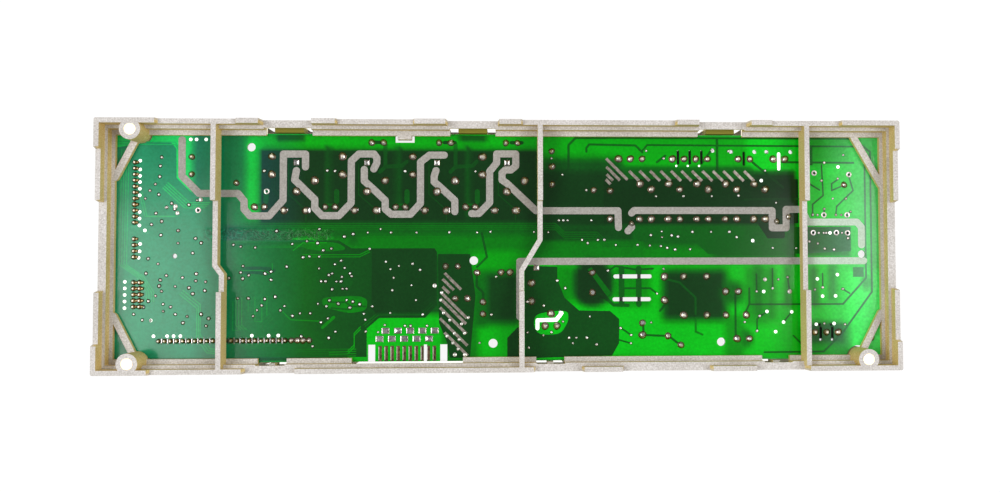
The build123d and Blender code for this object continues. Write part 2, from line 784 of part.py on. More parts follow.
def circuit_board():
    plan = Pos(0, (upper + lower) / 2) * RectangleRounded(right - left, upper - lower, board_corner)
    for x, y in boss_points:
        plan -= Pos(x, y) * Circle(boss_radius + boss_clearance)
    notch_depth = upper - low_half_width + tab_reach + tab_clearance
    plan -= Pos(tab_x, upper) * Rectangle(tab_width + 2 * tab_clearance, 2 * notch_depth)
    for x in edge_slot_x:
        plan -= Pos(x, lower) * Rectangle(edge_slot_width, 2 * edge_slot_depth)
    plan -= Pos(key_slot_x, lower) * Rectangle(key_slot_width, 2 * edge_slot_depth)
    for x, y, radius in free_holes:
        plan -= Pos(x, y) * RegularPolygon(radius, small_hole_sides)
    for x, y in header_slots:
        plan -= Pos(x, y) * SlotOverall(header_slot_length, slot_width, rotation=90)
    for x, y in vent_slots:
        plan -= Pos(x, y) * SlotOverall(vent_slot_length, vent_slot_width)
    plan -= band(creepage_slot, slot_width)
    plan -= Sketch() + [Pos(x, y) * Rectangle(lead_hole_size(size), lead_hole_size(size))
                        for x, y, size in all_leads()]
    return Pos(0, 0, board_front) * extrude(plan, board_thickness)


def printed_runs():
    """The line's runs, as points measured in from the upper edge and up from the lower one."""
    from_upper = [
        [(left + 28.5, 2.6), (left + 28.6, 18.0), (-128.5, 25.4), (-112.3, 25.4), (-109.7, 28.6),
         (-109.7, 32.0), (-107.2, 34.9), (-99.2, 34.9), (-93.4, 28.2), (-93.4, 8.6), (-84.1, 8.6),
         (-84.1, 14.1)],
        [(-87.9, 15.6), (-88.6, 19.6), (-85.5, 22.6), (-80.1, 27.9), (-80.1, 31.6), (-77.0, 34.8),
         (-69.9, 34.8), (-64.8, 29.4), (-64.8, 11.5), (-61.6, 8.5), (-55.2, 8.5), (-54.0, 10.2),
         (-54.0, 12.3), (-55.3, 14.9)],
        [(-59.3, 15.1), (-59.3, 20.0), (-56.4, 22.6), (-50.4, 28.3), (-50.4, 32.0), (-47.9, 34.2),
         (-39.7, 34.2), (-35.5, 29.6), (-35.5, 11.9), (-31.7, 8.9), (-25.4, 8.9)],
        [(-28.9, 15.5), (-29.7, 17.9), (-29.7, 20.4), (-27.6, 22.1), (-20.9, 28.3), (-20.9, 33.1)],
        [(-13.7, 33.9), (-10.6, 33.9), (-6.05, 29.2), (-6.05, 15.9), (-3.05, 12.2), (-3.05, 8.3),
         (5.1, 8.3), (5.1, 13.5), (3.1, 15.2), (0.6, 15.2), (-0.75, 16.5), (-0.75, 19.5),
         (1.4, 21.0), (13.8, 32.7), (49.0, 32.7), (49.2, 39.9)],
        [(53.3, 41.4), (54.9, 39.7)],
        [(54.9, 33.7), (56.0, 32.6), (116.0, 32.6), (116.0, 40.1), (122.1, 40.1), (122.1, 32.1),
         (129.0, 32.1), (right - 32.6, 37.6), (right - 11.1, 37.6), (right - 9.2, 39.8),
         (right - 9.2, 47.5)],
    ]
    from_lower = [
        [(right - 8.3, 42.2), (6.8, 42.2), (6.8, 18.7)],
    ]
    runs = [[(x, upper - inset) for x, inset in run] for run in from_upper]
    return runs + [[(x, lower + inset) for x, inset in run] for run in from_lower]


def isolation_line():
    """The thick printed line that parts mains copper from low-voltage copper."""
    plan = Sketch()
    for points in printed_runs():
        plan += faceted_strip(points, line_width)
    for x, y, size in all_leads():
        plan -= Pos(x, y) * RegularPolygon(size + ink_clearance, joint_sides)
    for x, y, radius in free_holes:
        plan -= Pos(x, y) * RegularPolygon(radius + ink_clearance, joint_sides)
    return Pos(0, 0, board_back) * extrude(plan, ink)


def edge_fingers():
    """The card-edge fingers; the keying slot trims the two beside it."""
    fingers = Part()
    low = lower + finger_setback
    for i in range(finger_count):
        x = finger_first_x + i * finger_pitch
        fingers += slab(x - finger_width / 2, x + finger_width / 2, low, low + finger_length,
                        board_back, board_back + plating)
    return fingers - slab(key_slot_x - key_slot_width / 2, key_slot_x + key_slot_width / 2,
                          lower, low + finger_length, board_back, board_back + plating)


def test_pads():
    pads = Part()
    for x0, y in test_pad_rows:
        for i in range(test_pad_count):
            x = x0 + i * test_pad_pitch
            pads += slab(x - test_pad_size[0] / 2, x + test_pad_size[0] / 2,
                         y - test_pad_size[1] / 2, y + test_pad_size[1] / 2,
                         board_back, board_back + plating)
    return pads


def solder_bars():
    runs = list(bars)
    for i in range(bar_row_count):
        runs.append((bar_row[0] + i * bar_row_pitch, bar_row[1], bar_row[2]))
    plan = Sketch()
    for x, y, run in runs:
        plan += straight_strip((x, y), (x + run, y - run), bar_width)
    for x, y, size in all_leads():
        plan -= Pos(x, y) * RegularPolygon(size + ink_clearance, joint_sides)
    return Pos(0, 0, board_back) * extrude(plan, plating)


# ---------------------------------------------------------------- write every node

os.makedirs("parts", exist_ok=True)

save("housing_frame", housing_frame())
save("circuit_board", circuit_board())
save("isolation_line", isolation_line())
save("edge_fingers", edge_fingers())
save("test_pads", test_pads())
save("solder_bars", solder_bars())
for i in range(power_relay_count):
    save(f"power_relay_{i + 1}", power_relay(relay_center(power_relay_center, power_relay_pitch, i)))
for i in range(slim_relay_count):
    save(f"slim_relay_{i + 1}", slim_relay(relay_center(slim_relay_center, slim_relay_pitch, i)))
for i, center in enumerate(snubber_centers):
    save(f"snubber_capacitor_{i + 1}", snubber_capacitor(center))
save("flyback_diodes", Compound([flyback_diode(i).solid() for i in range(power_relay_count)]))
for name, first, ways in header_list:
    save(name, plug_header(first, ways))
for name, first, count, pitch, step, rows in strip_list:
    save(name, pin_strip(first, count, pitch, step, rows))
for name, center, radius, height, span, angle in can_list:
    save(name, round_can(center, radius, height, span, angle))
core, former, winding = transformer()
save("transformer_core", core)
save("transformer_former", former)
save("transformer_winding", winding)
save("film_capacitor", film_capacitor())
save("rectifier_diode", rectifier())
save("varistor", disc_part(varistor_center, varistor_size, varistor_span, 90))
save("safety_capacitor", disc_part(safety_capacitor_center, safety_capacitor_size,
                                   safety_capacitor_span, safety_capacitor_angle))
save("fuse", fuse())
save("switching_transistor", switching_transistor())
save("buzzer", buzzer())
save("microcontroller", chip(*microcontroller, four_sided=True))
for i, center in enumerate(driver_centers):
    save(f"relay_driver_{i + 1}", chip(center, *driver))
for i, center in enumerate(coupler_centers):
    save(f"optocoupler_{i + 1}", chip(center, *coupler))
save("crystal", block(crystal_center, crystal_size, crystal_corner))
save("jumper_links", Compound([jumper_link(x).solid() for x in link_x]))
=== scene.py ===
import math
import random

import bpy
import bmesh
import numpy as np
from mathutils import Matrix, Vector
from mathutils.geometry import delaunay_2d_cdt


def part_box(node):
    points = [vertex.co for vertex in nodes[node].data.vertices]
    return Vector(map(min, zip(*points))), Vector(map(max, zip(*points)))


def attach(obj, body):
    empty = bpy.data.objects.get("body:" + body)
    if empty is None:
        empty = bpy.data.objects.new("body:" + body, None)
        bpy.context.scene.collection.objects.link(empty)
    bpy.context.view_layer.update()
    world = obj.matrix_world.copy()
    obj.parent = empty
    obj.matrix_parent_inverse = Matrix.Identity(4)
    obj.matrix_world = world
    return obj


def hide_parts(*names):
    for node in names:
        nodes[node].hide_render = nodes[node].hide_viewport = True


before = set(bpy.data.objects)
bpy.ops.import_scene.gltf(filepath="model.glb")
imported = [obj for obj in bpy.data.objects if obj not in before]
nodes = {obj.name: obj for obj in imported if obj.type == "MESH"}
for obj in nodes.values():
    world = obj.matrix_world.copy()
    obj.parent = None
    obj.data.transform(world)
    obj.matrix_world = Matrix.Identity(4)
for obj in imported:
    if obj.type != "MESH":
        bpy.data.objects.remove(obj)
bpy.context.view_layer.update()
MM = 0.001


# ---------------------------------------------------------------- places taken from the frame

def box_mm(name):
    low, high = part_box(name)
    return low / MM, high / MM


board_low, board_high = box_mm("circuit_board")
board_top = board_high.z
board_bottom = board_low.z

# Heights of the thin layers over the board's solder side, in mm.
POUR_HEIGHT = 0.04
LIT_SLOT_HEIGHT = 0.06
TRACE_HEIGHT = 0.07
LIT_HOLE_HEIGHT = 0.09
INK_HEIGHT = 0.12

# Middles, along x, of the hooks over the board's upper edge and of the gaps at its lower edge.
top_hooks = (-90.5, -13.2, 93.1)
lower_hooks = (-97.0, 19.7, 116.5)
HOOK_HALF = 6.15            # half a hook's width as the light masks see it
HOOK_GAP_HALF = 9.9         # half the width of the window a hook stands in
LOWER_GAP_HALF = 6.1
BORE_RADIUS = 2.36          # just wider than the bore of a screw boss
FRAME_WALL = 0.8            # depth of the frame's outer face as the light masks see it
frame_high = box_mm("housing_frame")[1]
boss_x, boss_y = frame_high.x - 14.5, frame_high.y - 4.7
boss_centres = [(-boss_x, boss_y), (-boss_x, -boss_y), (boss_x, -boss_y)]


# ---------------------------------------------------------------- colours and materials

def lin(value):
    value = value / 255.0
    return value / 12.92 if value <= 0.04045 else ((value + 0.055) / 1.055) ** 2.4


def tone(red, green, blue):
    """A colour as it looks on screen, 0 to 255, as linear light."""
    return (lin(red), lin(green), lin(blue), 1.0)


def material(name, roughness=0.5, metallic=0.0, specular=0.5):
    mat = bpy.data.materials.new(name)
    mat.use_nodes = True
    tree = mat.node_tree
    shader = tree.nodes["Principled BSDF"]
    shader.inputs["Roughness"].default_value = roughness
    shader.inputs["Metallic"].default_value = metallic
    shader.inputs["Specular IOR Level"].default_value = specular
    return mat, tree, shader


def add(tree, kind, settings=None, **inputs):
    node = tree.nodes.new("ShaderNode" + kind)
    for key, value in (settings or {}).items():
        setattr(node, key, value)
    for key, value in inputs.items():
        node.inputs[key.replace("_", " ")].default_value = value
    return node


def link(source, target):
    source.id_data.links.new(source, target)


def place(tree):
    """Object coordinates: metres in the part's own frame."""
    return add(tree, "TexCoord").outputs["Object"]


def noise(tree, scale, detail=2.0, rough=0.5, warp=0.0):
    node = add(tree, "TexNoise", None, Scale=scale, Detail=detail, Roughness=rough, Distortion=warp)
    link(place(tree), node.inputs["Vector"])
    return node.outputs["Fac"]


def ramp(source, stops):
    node = add(source.id_data, "ValToRGB")
    band = node.color_ramp
    while len(band.elements) < len(stops):
        band.elements.new(0.5)
    for element, (position, colour) in zip(band.elements, stops):
        element.position = position
        element.color = colour
    link(source, node.inputs["Fac"])
    return node.outputs["Color"]


def grained(tree, scale, detail, dark, light, rough=0.5, low=0.3, high=0.7):
    """Two colours mixed by a noise."""
    return ramp(noise(tree, scale, detail, rough), [(low, dark), (high, light)])


def tree_of(*values):
    """The node tree of the first socket among the values."""
    return next(value.id_data for value in values if isinstance(value, bpy.types.NodeSocket))


def feed(sockets, values):
    """Link or set each input: a value is a socket, a number or a colour."""
    for socket, value in zip(sockets, values):
        if isinstance(value, bpy.types.NodeSocket):
            link(value, socket)
        else:
            socket.default_value = value


def blend(factor, first, second, mode="MIX"):
    """Mix two colours."""
    node = add(tree_of(factor, first, second), "Mix", {"data_type": "RGBA", "blend_type": mode})
    feed((node.inputs["Factor"], node.inputs[6], node.inputs[7]), (factor, first, second))
    return node.outputs[2]


def maths(operation, first, second=0.0):
    node = add(tree_of(first, second), "Math", {"operation": operation})
    feed(node.inputs, (first, second))
    return node.outputs[0]


def plus(first, second):
    return maths("ADD", first, second)


def less(first, second):
    return maths("SUBTRACT", first, second)


def times(first, second):
    return maths("MULTIPLY", first, second)


def larger(first, second):
    return maths("MAXIMUM", first, second)


def above(value, limit):
    return maths("GREATER_THAN", value, limit)


def below(value, limit):
    return maths("LESS_THAN", value, limit)


def size_of(value):
    return maths("ABSOLUTE", value)


def rest(mask):
    """What a mask leaves out."""
    return less(1.0, mask)


def axis(source, letter):
    split = add(source.id_data, "SeparateXYZ")
    link(source, split.inputs[0])
    return split.outputs[letter]


def step(value, low, high):
    """0 below low, 1 above high, smooth between."""
    node = add(value.id_data, "MapRange", {"interpolation_type": "SMOOTHSTEP"})
    node.inputs["From Min"].default_value = low
    node.inputs["From Max"].default_value = high
    link(value, node.inputs["Value"])
    return node.outputs["Result"]


def bump(shader, height, strength, distance):
    node = add(height.id_data, "Bump", None, Strength=strength, Distance=distance)
    link(height, node.inputs["Height"])
    link(node.outputs["Normal"], shader.inputs["Normal"])


def paint(shader, colour):
    link(colour, shader.inputs["Base Color"])


def facing_up(tree):
    """1 on faces that look up or down, 0 on upright ones."""
    normal = add(tree, "NewGeometry").outputs["Normal"]
    return step(size_of(axis(normal, "Z")), 0.45, 0.85)


def between(value, low, high, edge=0.05):
    """1 where a coordinate lies between two places in mm, with a narrow soft edge."""
    rise = step(value, (low - edge) * MM, (low + edge) * MM)
    fall = step(value, (high - edge) * MM, (high + edge) * MM)
    return less(rise, fall)


def either(masks):
    """1 where any of the masks is."""
    total = masks[0]
    for mask in masks[1:]:
        total = larger(total, mask)
    return total


def tinned_leads(shader, z, colour):
    """Tin what passes through the board; the rest of the piece keeps its colour."""
    metal = step(z, (board_bottom + 0.05) * MM, (board_bottom + 0.15) * MM)
    link(metal, shader.inputs["Metallic"])
    return blend(metal, colour, tone(205, 196, 180))


def frame_plastic():
    """Light filled plastic with a fine speckle; upright faces are painted a warm tan for the light they
    let through, outer faces less so, and the hooks' tops an olive shade.
    """
    mat, tree, shader = material("frame_plastic", roughness=0.62, specular=0.3)
    where = place(tree)
    x, y, z = (axis(where, letter) for letter in "XYZ")
    speckle = noise(tree, 1500.0, 3.0, 0.7)
    top = ramp(speckle, [(0.3, tone(170, 164, 159)), (0.5, tone(200, 195, 190)),
        (0.72, tone(228, 225, 224))])
    # The tan on upright faces is painted light that comes through the plastic.
    side = ramp(speckle, [(0.3, tone(200, 168, 92)), (0.5, tone(226, 200, 132)),
        (0.72, tone(244, 226, 180))])
    hooks = either([between(x, centre - HOOK_HALF, centre + HOOK_HALF) for centre in top_hooks])
    # Painted shade: the hooks' tops, low under the ledge, are painted olive.
    hook_shade = times(hooks, times(between(y, 44.0, 50.2), between(z, board_top - 12, board_top + 2.4)))
    level = times(facing_up(tree), rest(hook_shade))
    # Outer upright faces get less of the painted light-through tan.
    end_face = above(size_of(x), (frame_high.x - FRAME_WALL) * MM)
    long_face = above(size_of(y), (frame_high.y - FRAME_WALL) * MM)
    outer = larger(end_face, long_face)
    side = blend(times(outer, 0.6), side, top)
    colour = blend(level, side, top)
    cloud = grained(tree, 55.0, 3.0, (0.88, 0.87, 0.85, 1), (1.0, 1.0, 1.0, 1), low=0.35, high=0.65)
    colour = blend(1.0, colour, cloud, "MULTIPLY")
    colour = blend(hook_shade, colour, tone(132, 124, 40))
    paint(shader, colour)
    bump(shader, noise(tree, 2200.0, 2.0), 0.25, 0.0001)

    # Light from behind: beside the hooks, along the card edge, and in the screw bosses.
    gaps = [between(x, centre - HOOK_GAP_HALF, centre + HOOK_GAP_HALF) for centre in top_hooks]
    upper = times(either(gaps), times(between(y, 47.6, 60.0), rest(hooks)))
    gaps = [between(x, centre - LOWER_GAP_HALF, centre + LOWER_GAP_HALF) for centre in lower_hooks]
    gaps.append(between(x, -64.2, -17.1))
    lower = times(either(gaps), between(y, -60.0, -48.6))
    outward = times(axis(add(tree, "NewGeometry").outputs["Normal"], "Y"), maths("SIGN", y))
    behind = larger(times(upper, between(z, board_top - 14, board_top + 1.2)),
        times(lower, between(z, 1.0, 12.0, 0.5)))
    behind = times(behind, below(outward, 0.5))
    bores = []
    for centre in boss_centres:
        to = add(tree, "VectorMath", {"operation": "DISTANCE"})
        flat = add(tree, "CombineXYZ")
        link(x, flat.inputs[0])
        link(y, flat.inputs[1])
        link(flat.outputs[0], to.inputs[0])
        to.inputs[1].default_value = (centre[0] * MM, centre[1] * MM, 0)
        bores.append(below(to.outputs["Value"], BORE_RADIUS * MM))
    bore = times(either(bores), rest(facing_up(tree)))
    warm = step(z, 22 * MM, 38 * MM)
    glow = blend(times(bore, warm), (1, 1, 1, 1), (0.98, 0.97, 0.76, 1))
    link(glow, shader.inputs["Emission Color"])
    link(larger(behind, bore), shader.inputs["Emission Strength"])
    return mat


def printed_ink():
    """White legend ink over the mask, grey where no light comes through and pale where it does."""
    mat, tree, shader = material("printed_ink", roughness=0.6, specular=0.25)
    grain = noise(tree, 1600.0, 3.0, 0.7)
    grey = ramp(grain, [(0.3, tone(134, 130, 124)), (0.5, tone(152, 148, 142)),
        (0.7, tone(172, 168, 163))])
    pale = ramp(grain, [(0.3, tone(166, 186, 166)), (0.7, tone(196, 214, 198))])
    lit = step(axis(place(tree), "X"), 124 * MM, 136 * MM)
    paint(shader, blend(lit, grey, pale))
    bump(shader, noise(tree, 2200.0, 2.0), 0.2, 0.00005)
    return mat


def solder_mask():
    """Glossy green mask; its colour, with the painted light that comes through the board, the painted
    shadows of parts behind it and a painted glare, is carried by the mesh as a colour attribute.
    """
    mat, tree, shader = material("solder_mask", roughness=0.15, specular=0.22)
    colour_and_painted_light = add(tree, "Attribute", {"attribute_name": "colour_and_painted_light"}).outputs["Color"]
    grain = grained(tree, 900.0, 3.0, (0.86, 0.86, 0.86, 1), (1.1, 1.1, 1.1, 1), rough=0.6)
    cloud = grained(tree, 70.0, 3.0, (0.88, 0.9, 0.88, 1), (1.06, 1.06, 1.06, 1))
    where = place(tree)
    band = times(between(axis(where, "X"), -126, -72, 3.0), between(axis(where, "Y"), 2.8, 7.6, 0.8))
    wrinkle = noise(tree, 520.0, 4.0, 0.7, 1.5)
    # Painted shade and highlight on the wrinkles: darker in their hollows, lighter on their crests.
    wrinkle_light = ramp(wrinkle, [(0.42, (0.6, 0.62, 0.6, 1)), (0.62, (1.7, 1.6, 1.7, 1))])
    colour = blend(1.0, colour_and_painted_light, grain, "MULTIPLY")
    colour = blend(1.0, colour, cloud, "MULTIPLY")
    paint(shader, blend(band, colour, blend(1.0, colour, wrinkle_light, "MULTIPLY")))
    height = plus(times(noise(tree, 500.0, 2.0), 0.08), times(wrinkle, times(band, 1.2)))
    bump(shader, height, 0.7, 0.0001)
    return mat


def tin(name, dark, light, roughness):
    """Dull or bright tinned metal."""
    mat, tree, shader = material(name, roughness=roughness, metallic=1.0)
    paint(shader, grained(tree, 700.0, 3.0, dark, light, rough=0.6, high=0.65))
    bump(shader, noise(tree, 1200.0, 2.0), 0.35, 0.0001)
    return mat


def joint_solder(name, foot, dark, light, low, high, roughness=0.2):
    """Solder on a foot of flux, darkened also as painted shade of the steep lower side: the foot's
    colour up to low, bright metal from high, in mm.
    """
    mat, tree, shader = material(name, roughness=roughness, metallic=1.0)
    rise = step(axis(place(tree), "Z"), (board_top + low) * MM, (board_top + high) * MM)
    metal = grained(tree, 900.0, 2.0, dark, light, low=0.35, high=0.65)
    paint(shader, blend(rise, foot, metal))
    bump(shader, noise(tree, 1500.0, 2.0), 0.4, 0.00012)
    return mat


def finger_highlight_tin():
    """Painted highlight: a pale strip along the left edge of the card fingers."""
    mat, tree, shader = material("finger_highlight_tin", roughness=0.35, metallic=0.5)
    paint(shader, grained(tree, 900.0, 2.0, tone(196, 184, 170), tone(240, 234, 226), low=0.35,
        high=0.6))
    return mat


def lit_hole():
    """A glowing disc over a drilled hole: painted light from behind, seen through the hole."""
    mat, tree, shader = material("lit_hole", roughness=0.4)
    colour = grained(tree, 1500.0, 2.0, tone(236, 250, 236), tone(252, 254, 250), high=0.6)
    paint(shader, colour)
    link(colour, shader.inputs["Emission Color"])
    shader.inputs["Emission Strength"].default_value = 0.75
    return mat


def via_solder():
    """Small bright domes on a dark green foot of painted shadow."""
    mat, tree, shader = material("via_solder", roughness=0.25, metallic=0.6)
    height = axis(place(tree), "Z")
    rise = step(height, (board_top + 0.1) * MM, (board_top + 0.16) * MM)
    metal = grained(tree, 700.0, 2.0, tone(180, 178, 168), tone(250, 250, 246), low=0.35, high=0.65)
    paint(shader, blend(rise, tone(36, 62, 36), metal))
    return mat


def moulded(name, dark, light, roughness=0.45, scale=1400.0, pins=True):
    """A part's case, with tinned leads above the board and at its foot."""
    mat, tree, shader = material(name, roughness=roughness, specular=0.4)
    colour = grained(tree, scale, 3.0, dark, light, rough=0.6)
    if pins:
        colour = tinned_leads(shader, axis(place(tree), "Z"), colour)
    paint(shader, colour)
    bump(shader, noise(tree, 2000.0, 2.0), 0.25, 0.0001)
    return mat


def sleeved_can(name):
    """Electrolytic capacitor: dark sleeve with a pale stripe, and the scored bare end of the can."""
    low, high = box_mm(name)
    centre, radius = (low + high) / 2, (high.x - low.x) / 2
    mat, tree, shader = material(name + "_sleeve", roughness=0.3, specular=0.45)
    where = place(tree)
    x, y, z = (axis(where, letter) for letter in "XYZ")
    sleeve = grained(tree, 900.0, 3.0, tone(12, 18, 46), tone(24, 34, 72), rough=0.6)
    stripe = step(x, (centre.x + radius * 0.8) * MM, (centre.x + radius * 0.82) * MM)
    colour = blend(stripe, sleeve, tone(150, 156, 172))
    across = less(x, centre.x * MM)
    along = less(y, centre.y * MM)
    reach = maths("POWER", plus(times(across, across), times(along, along)), 0.5)
    disc = times(below(reach, radius * 0.78 * MM), below(z, (low.z + 1.2) * MM))
    aluminium = grained(tree, 1100.0, 2.0, tone(150, 150, 152), tone(198, 198, 200))
    pins = above(z, board_bottom * MM)
    colour = blend(larger(disc, pins), colour, aluminium)
    paint(shader, colour)
    link(larger(disc, pins), shader.inputs["Metallic"])
    # the can's end is scored with a cross
    score = either([below(size_of(line), 0.35 * MM) for line in (across, along)])
    bump(shader, times(times(score, disc), -1.0), 0.8, 0.0004)
    return mat


def chip(name, letter, inset):
    """Moulded package with tinned legs beyond its body and a dimple at pin one."""
    low, high = box_mm(name)
    mat, tree, shader = material(name + "_case", roughness=0.55, specular=0.35)
    where = place(tree)
    half = (getattr(high, letter) - getattr(low, letter)) / 2
    middle = (getattr(high, letter) + getattr(low, letter)) / 2
    off = size_of(less(axis(where, letter.upper()), middle * MM))
    legs = step(off, (half - inset) * MM, (half - inset + 0.05) * MM)
    epoxy = grained(tree, 1800.0, 3.0, tone(17, 17, 18), tone(38, 38, 40), rough=0.6)
    dot = add(tree, "VectorMath", {"operation": "DISTANCE"})
    link(where, dot.inputs[0])
    dot.inputs[1].default_value = Vector((low.x + inset + 1.2, low.y + inset + 1.2, low.z)) * MM
    dimple = below(dot.outputs["Value"], 0.5 * MM)
    paint(shader, blend(legs, blend(dimple, epoxy, tone(58, 58, 60)), tone(196, 192, 184)))
    link(legs, shader.inputs["Metallic"])
    bump(shader, noise(tree, 2400.0, 2.0), 0.3, 0.0001)
    return mat


def relay_case(name, dark, light):
    """Relay: satin case, a base of sealing resin round its foot, tinned pins through the board."""
    mat, tree, shader = material(name, roughness=0.38, specular=0.4)
    z = axis(place(tree), "Z")
    case = grained(tree, 1500.0, 3.0, dark, light, rough=0.6)
    dust = grained(tree, 160.0, 4.0, (1, 1, 1, 1), (1.7, 1.65, 1.6, 1), rough=0.65, low=0.45, high=0.75)
    case = blend(1.0, case, dust, "MULTIPLY")
    base = step(z, (board_bottom - 2.1) * MM, (board_bottom - 2.0) * MM)
    resin = grained(tree, 700.0, 2.0, tone(30, 26, 20), tone(52, 46, 36))
    paint(shader, tinned_leads(shader, z, blend(base, case, resin)))
    seam = between(z, board_bottom - 2.3, board_bottom - 2.0)
    height = less(times(noise(tree, 2000.0, 2.0), 0.3), seam)
    bump(shader, height, 0.5, 0.0002)
    return mat


def tape():
    """Overlapping turns of yellow tape round the winding, glossy, with darker lapped edges."""
    mat, tree, shader = material("winding_tape", roughness=0.24, specular=0.5)
    z = axis(place(tree), "Z")
    lap = maths("FRACT", maths("DIVIDE", z, 3.3 * MM))
    shade = ramp(lap, [(0.0, (0.62, 0.58, 0.5, 1)), (0.08, (1, 1, 1, 1)), (0.9, (0.92, 0.9, 0.86, 1))])
    film = grained(tree, 420.0, 4.0, tone(206, 158, 22), tone(236, 194, 62), rough=0.6)
    paint(shader, blend(1.0, film, shade, "MULTIPLY"))
    bump(shader, plus(lap, times(noise(tree, 300.0, 3.0), 0.5)), 0.5, 0.00015)
    return mat


def header_nylon():
    """Natural nylon; under the board's slots it is in the dark."""
    mat, tree, shader = material("header_nylon", roughness=0.5, specular=0.4)
    where = place(tree)
    z = axis(where, "Z")
    colour = grained(tree, 1400.0, 3.0, tone(206, 202, 188), tone(228, 224, 212), rough=0.6)
    under = between(z, board_bottom - 1.5, board_bottom + 0.04, 0.02)
    under = times(under, facing_up(tree))
    colour = blend(under, colour, tone(24, 20, 14))
    paint(shader, tinned_leads(shader, z, colour))
    bump(shader, noise(tree, 2000.0, 2.0), 0.25, 0.0001)
    return mat


# ---------------------------------------------------------------- outlines, all in mm

def ring_points(x, y, radius, count):
    angles = [2 * math.pi * i / count for i in range(count)]
    return [(x + radius * math.cos(a), y + radius * math.sin(a)) for a in angles]


def capsule(start, end, width, count):
    """Outline of a straight strip with round ends."""
    angle = math.atan2(end[1] - start[1], end[0] - start[0])
    points = []
    for (x, y), turn in ((start, angle + math.pi / 2), (end, angle - math.pi / 2)):
        for i in range(count):
            a = turn + math.pi * i / (count - 1)
            points.append((x + width / 2 * math.cos(a), y + width / 2 * math.sin(a)))
    return points


def strip(points, width, count=9):
    return [capsule(a, b, width, count) for a, b in zip(points, points[1:])]


def rectangle(x0, x1, y0, y1):
    return [(x0, y0), (x1, y0), (x1, y1), (x0, y1)]


def inside(points, loop):
    """Which points lie inside a loop (even-odd rule)."""
    loop = np.asarray(loop)
    hit = np.zeros(len(points), bool)
    low, high = loop.min(0), loop.max(0)
    near = np.where(np.all((points >= low) & (points <= high), axis=1))[0]
    if len(near) == 0:
        return hit
    x, y = points[near, 0], points[near, 1]
    found = np.zeros(len(near), bool)
    for (x0, y0), (x1, y1) in zip(loop, np.roll(loop, -1, axis=0)):
        if y0 == y1:
            continue
        crosses = (y0 > y) != (y1 > y)
        found ^= crosses & (x < (x1 - x0) * (y - y0) / (y1 - y0) + x0)
    hit[near] = found
    return hit


# ---------------------------------------------------------------- flat pieces with holes

def add_piece(name, mesh, mat):
    """A new piece of the fixed part of the model, with its material."""
    mesh.materials.append(mat)
    piece = bpy.data.objects.new(name, mesh)
    bpy.context.scene.collection.objects.link(piece)
    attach(piece, "root")
    return piece


def flat_piece(name, solid, holes, bottom, top, mat, shade=None, grid=0.0):
    """A level plate: the union of the solid loops less the holes, in mm. shade(x, y, region) gives
    the light at each corner, where region is the last loop that holds its face; grid adds
    vertices so that the light can change smoothly."""
    loops = list(solid) + list(holes)
    points, edges = [], []
    for loop in loops:
        first = len(points)
        points.extend(Vector(p) for p in loop)
        edges.extend((first + i, first + (i + 1) % len(loop)) for i in range(len(loop)))
    if grid:
        outline = np.concatenate([np.asarray(loop) for loop in solid])
        low, high = outline.min(0), outline.max(0)
        xs = np.arange(low[0] + grid / 2, high[0], grid)
        ys = np.arange(low[1] + grid / 2, high[1], grid)
        mesh_points = np.array([(x, y) for x in xs for y in ys])
        keep = np.zeros(len(mesh_points), bool)
        for loop in solid:
            keep |= inside(mesh_points, loop)
        points.extend(Vector(p) for p in mesh_points[keep])
    verts, _, faces, _, _, _ = delaunay_2d_cdt(points, edges, [], 0, 1e-5)
    flat = np.array([v[:] for v in verts])
    faces = np.array([f for f in faces if len(f) == 3])
    centres = flat[faces].mean(1)
    region = np.full(len(faces), -1)
    for index, loop in enumerate(solid):
        region[inside(centres, loop)] = index
    for loop in holes:
        region[inside(centres, loop)] = -1
    faces, region = faces[region >= 0], region[region >= 0]
    used, faces = np.unique(faces, return_inverse=True)
    faces = faces.reshape(-1, 3)
    flat = flat[used]
    a, b, c = flat[faces[:, 0]], flat[faces[:, 1]], flat[faces[:, 2]]
    turned = ((b - a)[:, 0] * (c - a)[:, 1] - (b - a)[:, 1] * (c - a)[:, 0]) < 0
    faces[turned] = faces[turned][:, ::-1]
    count = len(flat)
    owner = {}
    for f, part in zip(faces.tolist(), region.tolist()):
        for i in range(3):
            owner[(f[i], f[(i + 1) % 3])] = part
    rim = [(i, j) for i, j in owner if (j, i) not in owner]
    all_faces = [tuple(f) for f in faces.tolist()]
    all_faces += [tuple(i + count for i in f[::-1]) for f in faces.tolist()]
    all_faces += [(j, i, i + count, j + count) for i, j in rim]
    height = np.concatenate([np.full(count, top), np.full(count, bottom)])
    spots = np.column_stack([np.vstack([flat, flat]), height]) * MM
    mesh = bpy.data.meshes.new(name)
    mesh.from_pydata(spots.tolist(), [], all_faces)
    if shade is not None:
        corner = np.concatenate([np.asarray(f) for f in all_faces]) % count
        part = np.concatenate([np.repeat(region, 3), np.repeat(region, 3),
            np.repeat([owner[edge] for edge in rim], 4)]).astype(int)
        x, y = flat[corner, 0], flat[corner, 1]
        layer = mesh.attributes.new("colour_and_painted_light", "FLOAT_COLOR", "CORNER")
        colour = mask_colour_with_glare(x, shade(x, y, part)).astype(np.float32)
        layer.data.foreach_set("color", colour.ravel())
    return add_piece(name, mesh, mat)


# ---------------------------------------------------------------- light through the board

def soft(value, low, high, width):
    """1 between low and high, falling to 0 over the width outside."""
    rise = np.clip((value - low) / width + 0.5, 0, 1)
    fall = np.clip((high - value) / width + 0.5, 0, 1)
    both = np.minimum(rise, fall)
    return both * both * (3 - 2 * both)


def patch(x, y, x0, x1, y0, y1, width):
    """A soft-edged rectangle."""
    return soft(x, x0, x1, width) * soft(y, y0, y1, width)


